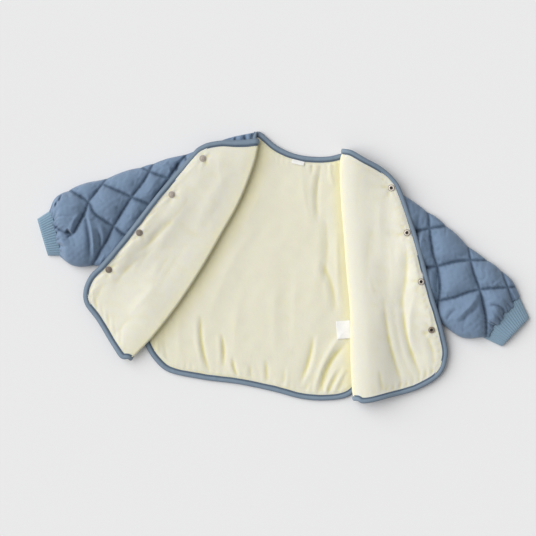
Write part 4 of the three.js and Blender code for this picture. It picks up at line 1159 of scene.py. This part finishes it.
def inflated(name, start, held):
    """The cloth of a sleeve after air between its seams has pushed it, held where held is 1."""
    columns, rows = start.shape[:2]
    mesh = bpy.data.meshes.new(f"{name}_puffing")
    mesh.from_pydata((start.reshape(-1, 3) * MM).tolist(), [], grid_faces(columns, rows))
    if mesh.polygons[0].normal.z < 0:
        mesh.flip_normals()
    cloth = put(f"{name}_puffing", mesh)
    pins = cloth.vertex_groups.new(name="held")
    for k, weight in enumerate(held.ravel().tolist()):
        pins.add([k], weight, "REPLACE")
    settings = cloth.modifiers.new("puffing", "CLOTH").settings
    for setting, value in PUFFING.items():
        setattr(settings, setting, value)
    settings.effector_weights.gravity = 0
    for moment in range(1, PUFFING_FRAMES + 1):
        bpy.context.scene.frame_set(moment)
    solved = cloth.evaluated_get(bpy.context.evaluated_depsgraph_get()).to_mesh()
    points = np.empty(3 * columns * rows, np.float32)
    solved.vertices.foreach_get("co", points)
    bpy.data.objects.remove(cloth)
    bpy.context.scene.frame_set(1)
    return points.reshape(start.shape) / MM


def finer(coarse, columns, rows):
    """A grid's values on a grid with more cells."""
    across = straight(even(len(coarse) - 1), coarse)(even(columns))
    return straight(even(coarse.shape[1] - 1), across.T)(even(rows)).T


def puffing(name, cells):
    """The lift that wadding gives a sleeve's top: worked out on a coarser cloth under pressure."""
    rings, across = sleeve_grid(name, {**cells, **PUFFING_CELLS})
    tops = PUFFING_CELLS["top"] + 1
    rest, across = rings[:, :tops], across[:, :tops]
    to_lines = stitched_distances(name, rest[..., :2])
    held = 1 - ease((np.minimum(*to_lines) - 1.5) / 2.5)
    held[[0, -1]] = 1
    held[:, [0, -1]] = 1
    start = rest.copy()
    squares = pillow(to_lines[0]) * pillow(to_lines[1])
    start[..., 2] += STARTS_PUFFED * SLEEVE_LOFT * squares * dome(across) ** 0.6
    lift = np.clip(inflated(name, start, held) - rest, -MOST_LIFT, MOST_LIFT)
    return soften(np.dstack([finer(lift[..., k], cells["along"], cells["top"]) for k in range(3)]), 2)


def gathered_end(name, outer, across, rings):
    """Closes the end of a sleeve onto its cuff, and turns it back under itself."""
    along = even(len(outer) - 1)
    raised = np.clip(rings[-1, :, 2] / (SIDE_SHARE * SLEEVES[name]["height"][-1]), 0, 1)
    landing = raised * (cuff_height(across[-1]) + 0.9)
    for i in np.flatnonzero(along > GATHERED_FROM):
        share = (along[i] - GATHERED_FROM) / (1 - GATHERED_FROM)
        level = landing + (outer[i, :, 2] - landing) * math.sqrt(1 - share**2)
        outer[i, :, 2] = outer[i, :, 2] + raised * (np.maximum(level, landing) - outer[i, :, 2])
    top_edge, bottom_edge = (line(np.float64(1)) for line in sleeve_lines(name))
    lower, inner = outer[-1].copy(), outer[-1].copy()
    lower[:, 2] -= 0.45 * raised
    inner[:, 2] = lower[:, 2]
    inner[:, :2] = top_edge + (bottom_edge - top_edge) * across[-1][:, None]
    return np.concatenate([outer, [lower, inner]])


def inside_of(rings, level):
    """The hollow of a sleeve or cuff: narrower than its outside, and level with what is given."""
    spots = rings[..., :2]
    middle = spots.mean(1, keepdims=True)
    return np.dstack([middle + (spots - middle) * HOLLOW_SHARE, level])


def hollow_level(rings):
    return 2.4 + 0.14 * rings[..., 2]


def make_sleeve(name, cover):
    """A sleeve from under the front that covers it down to its cuff, with its stitches."""
    rings, across = sleeve_grid(name, SLEEVE_CELLS)
    spots = rings[..., :2]
    tops = SLEEVE_CELLS["top"] + 1
    upper = np.zeros(rings.shape[:2])
    upper[:, :tops] = 1
    length = travelled(rings[:, 0])[-1]
    along = np.broadcast_to(even(SLEEVE_CELLS["along"])[:, None], rings.shape[:2])
    full = dome(across) * upper
    to_lines = stitched_distances(name, spots)
    near = np.minimum(*to_lines)
    puff = pillow(to_lines[0]) * pillow(to_lines[1])
    groove = fading(near, GROOVE_WIDTH)
    free = ease((along - 0.02) / 0.2) * (1 - 0.6 * ease((along - 0.93) / 0.07))
    puckers = 0.5 * fading(near, 7) * unevenness(spots, 7, 23)
    lift = np.zeros(rings.shape)
    lift[:, :tops] = puffing(name, SLEEVE_CELLS) * ease(near[:, :tops, None] / 4)
    lift[..., 2] += 0.25 * SLEEVE_LOFT * puff
    lift[..., 2] += uneven_cloth("sleeves", spots) * puff + puckers - SEAM_GROOVE * groove
    lift *= (full**0.4 * free)[..., None]
    creases = creased(SLEEVE_CREASES[name], spots)
    lift[..., 2] += full**0.6 * (creases + cuff_gathers(name, along, across, length))
    lift[..., 2] += SEAM_GROOVE * groove * (rings[..., 2] == 0) * ease((along - 0.02) / 0.05) * (along < 0.98)
    outer = rings + lift
    outer[..., 2] = np.maximum(outer[..., 2], np.where(upper > 0, hollow_level(rings) + SLEEVE_WALL, 0))
    ceiling = heights_on(cover, outer[..., :2], upwards=True) - CLEARANCE
    outer[..., 2] = np.where(upper > 0, np.minimum(outer[..., 2], ceiling), outer[..., 2])
    outer = gathered_end(name, outer, across, rings)
    # Painted shade in the stitched grooves and creases, and all over the two rings turned under at the end
    shade_to_paint = np.maximum(groove, painted_crease_shade(lift[..., 2], 12, 1.0))
    shade_to_paint = np.concatenate([shade_to_paint, np.ones((2, shade_to_paint.shape[1]))])
    hollow = inside_of(rings, hollow_level(rings))[::10]
    finishes, nodes = [SHELL, LINING], [f"{name}_sleeve"]
    piece = tube_piece(f"{name}_sleeve_quilted", outer, hollow, finishes, "quilted_shell", nodes, shade_to_paint)
    stitch_rows(name, outer)
    declare_cloth(wrapped(rings))


def stitch_rows(name, outer):
    """Stitches in the valleys between a sleeve's squares."""
    surface = surface_through(outer[:, :SLEEVE_CELLS["top"] + 1])
    runs = []
    for line in [line for way in QUILTING for line in SLEEVES[name][way]]:
        marks = drawn(line, "stitches")
        heights = heights_on(surface, marks)
        on = np.isfinite(heights)
        if on.sum() < 8:
            continue
        path = np.column_stack([marks[on], heights[on] + 0.12])
        path[:, 2] = smoothed_line(path[:, 2:], 2)[:, 0]
        ups = np.zeros_like(path) + (0, 0, 1)
        runs.append(stitch_run(path, ups, **SLEEVE_STITCH))
    stitches_piece(f"{name}_sleeve_stitches", runs)


# Cuffs

def make_cuff(name):
    top_edge, bottom_edge = sleeve_lines(name)
    sleeve_end = np.array([top_edge(np.float64(1)), bottom_edge(np.float64(1))])
    mouth = np.array(SLEEVES[name]["cuff"], float)
    start = sleeve_end + unit(mouth.sum(0) - sleeve_end.sum(0)) * SEAM_GAP
    ribs = CUFF_RIBS * CUFF_CELLS["per_rib"]
    top = even(ribs)
    across = np.concatenate([top, 0.95 - 0.9 * even(CUFF_CELLS["bottom"])])
    ribbed = RIB_DEPTH * (0.5 - 0.5 * np.cos(math.tau * CUFF_RIBS * top)) ** 0.7 * dome(top) ** 0.5
    rings = []
    for share in even(CUFF_CELLS["along"]):
        a, b = start + (mouth - start) * share
        swell = 1 + 0.05 * math.sin(math.pi * share) - 0.1 * ease((share - 0.86) / 0.14)
        rise = np.zeros(len(across))
        rise[:ribs + 1] = swell * cuff_height(top) - RIB_DEPTH + ribbed
        rise[[0, ribs]] = 0.35 * CUFF_HEIGHT
        rings.append(np.column_stack([a + (b - a) * across[:, None], rise]))
    rings = np.stack(rings)
    hollow = inside_of(rings, 3.3 + 0.378 * rings[..., 2])
    piece = tube_piece(f"{name}_cuff_knit", rings, hollow, [KNIT, KNIT], "rib_knit", [f"{name}_cuff"])
    declare_cloth(wrapped(rings))


# Snaps and labels

def lathed(outline):
    """Points and faces turned from an outline of radius and height, closed where it meets the axis."""
    turns = np.arange(SNAP_SEGMENTS) * math.tau / SNAP_SEGMENTS
    points = [(r * math.cos(t), r * math.sin(t), z) for r, z in outline for t in turns]
    return np.array(points), grid_faces(len(outline), SNAP_SEGMENTS, around=True)


def rounded_corner(radius, z, size, start, end, steps=5):
    """Points round a corner of an outline, between two angles in degrees."""
    angles = np.radians(np.linspace(start, end, steps))
    return [(radius + size * math.cos(a), z + size * math.sin(a)) for a in angles]


def stud_outline():
    rim = SNAP_RADIUS
    return [(0.02, 0), (rim - 0.3, 0), *rounded_corner(rim - 0.45, 0.45, 0.45, -90, 60), (rim - 1.0, 0.98),
            (rim - 1.6, 0.86), (2.7, 0.8), (2.3, 0.95), *rounded_corner(1.75, 1.95, 0.45, -30, 120),
            (0.9, 2.3), (0.5, 2.18), (0.02, 2.15)]


def socket_outline():
    rim = SNAP_RADIUS
    return [(2.3, 0), (rim - 0.3, 0), *rounded_corner(rim - 0.5, 0.55, 0.5, -90, 60), (rim - 0.9, 1.05),
            (rim - 1.2, 0.8), (rim - 1.5, 1.2), *rounded_corner(2.85, 0.98, 0.4, 80, 200), (2.4, 0.5),
            (2.3, 0)]


def frame_at(lining, place):
    """Where a snap sits on the lining: its centre, and the way the lining faces there."""
    away = (lining[..., 0] - place["x"]) ** 2 + (lining[..., 1] - place["y"]) ** 2
    i, j = np.unravel_index(np.argmin(away), away.shape)
    near = lining[max(i - 2, 0):i + 3, max(j - 2, 0):j + 3].reshape(-1, 3)
    centre = near.mean(0)
    up = np.linalg.svd(near - centre)[2][2]
    up = up * np.sign(up[2])
    return np.array([place["x"], place["y"], centre[2]]), up


def make_snap(half, number, place, lining):
    centre, up = frame_at(lining, place)
    finishes = [METALS[place["finish"]]]
    if half == "socket":
        ring, floor = lathed(socket_outline()), lathed(SOCKET_FLOOR)
        points, faces = joined([ring, floor])
        # The socket's floor wears the near-black finish, painted shade in its hole
        finishes += [METALS["dark_brown_rim"], SOCKET_WELL_SHADE]
        rim_faces = RIM_BANDS * SNAP_SEGMENTS
        finish_of = [1] * rim_faces + [0] * (len(ring[1]) - rim_faces) + [2] * len(floor[1])
    else:
        points, faces = lathed(stud_outline())
        finish_of = [0] * len(faces)
    across = unit(np.cross(up, (0, 1, 0)))
    ahead = np.cross(up, across)
    placed = centre + points[:, :1] * across + points[:, 1:2] * ahead + (points[:, 2:] + SNAP_LIFT) * up
    name = f"{half}_{number}"
    make_piece(f"{name}_metal", placed, faces, finishes, place["metal"], finish_of, [name])


def make_label(label, lining):
    """A woven label lying loose on the lining, as one thin curled sheet; the real label's cut ends are turned
    under.
    """
    u, v = np.meshgrid(*[even(cells) - 0.5 for cells in LABEL_CELLS], indexing="ij")
    turn = math.radians(label["turn"])
    dx, dy = u * label["width"], -v * label["length"]
    x = label["x"] + dx * math.cos(turn) - dy * math.sin(turn)
    y = label["y"] + dx * math.sin(turn) + dy * math.cos(turn)
    under = heights_on(surface_through(lining), np.dstack([x, y]))
    curl = 0.5 * np.sin(np.pi * (v + 0.5)) * (0.5 - u) + 0.25 * np.sin(4 * u + 3 * v)
    z = np.maximum(soften(filled(under), 6), under) + LABEL_LIFT + np.maximum(curl, 0)
    upper, lower = np.dstack([x, y, z + LABEL_THICKNESS]), np.dstack([x, y, z])
    piece = cloth_piece(f"{label['name']}_woven", upper, lower, [SATIN, SATIN], "label", [label["name"]])
    if label["length"] > SMALLEST_SHEET:
        declare_cloth(lower)


# Camera, light and floor

def make_camera():
    camera = put("camera", bpy.data.cameras.new("camera"))
    camera.location = (*VIEW_CENTRE, CAMERA_HEIGHT)
    camera.data.sensor_width = SENSOR_WIDTH
    camera.data.lens = SENSOR_WIDTH * CAMERA_HEIGHT / VIEW_WIDTH
    bpy.context.scene.camera = camera


def make_light(name, towards, width, power):
    """A broad soft source, even over the whole floor; width is the angle it fills, in degrees."""
    lamp = bpy.data.lights.new(name, "SUN")
    lamp.angle = math.radians(width)
    lamp.energy = power
    holder = put(name, lamp)
    holder.rotation_mode = "QUATERNION"
    holder.rotation_quaternion = (-Vector(towards)).to_track_quat("-Z", "Y")


def make_studio():
    world = bpy.data.worlds.new("soft_room")
    world.use_nodes = True
    background = world.node_tree.nodes["Background"]
    background.inputs["Color"].default_value = (1, 1, 1, 1)
    background.inputs["Strength"].default_value = ROOM_LIGHT
    bpy.context.scene.world = world
    bpy.context.scene.view_settings.view_transform = "Standard"
    make_light("window", **WINDOW)
    square = ((-1, -1), (1, -1), (1, 1), (-1, 1))
    corners = [(x * FLOOR_REACH, y * FLOOR_REACH, FLOOR_LEVEL) for x, y in square]
    mesh = bpy.data.meshes.new("pale_floor")
    mesh.from_pydata(corners, [], [[0, 1, 2, 3]])
    mesh.materials.append(studio_paper())
    put("pale_floor", mesh)


def make_jacket():
    solids = {name: surface_of(f"{name}_front") for name in FRONTS}
    back_lining = make_back(solids.values())
    for name in FRONTS:
        make_sleeve(name, solids[name])
        make_cuff(name)
        flap_lining = make_front(name, solids[name])
        for k, place in enumerate(SNAP_PLACES[name]):
            make_snap(SNAP_HALVES[name], k + 1, place, flap_lining)
    for label in LABELS:
        make_label(label, back_lining)


make_camera()
make_studio()
make_jacket()
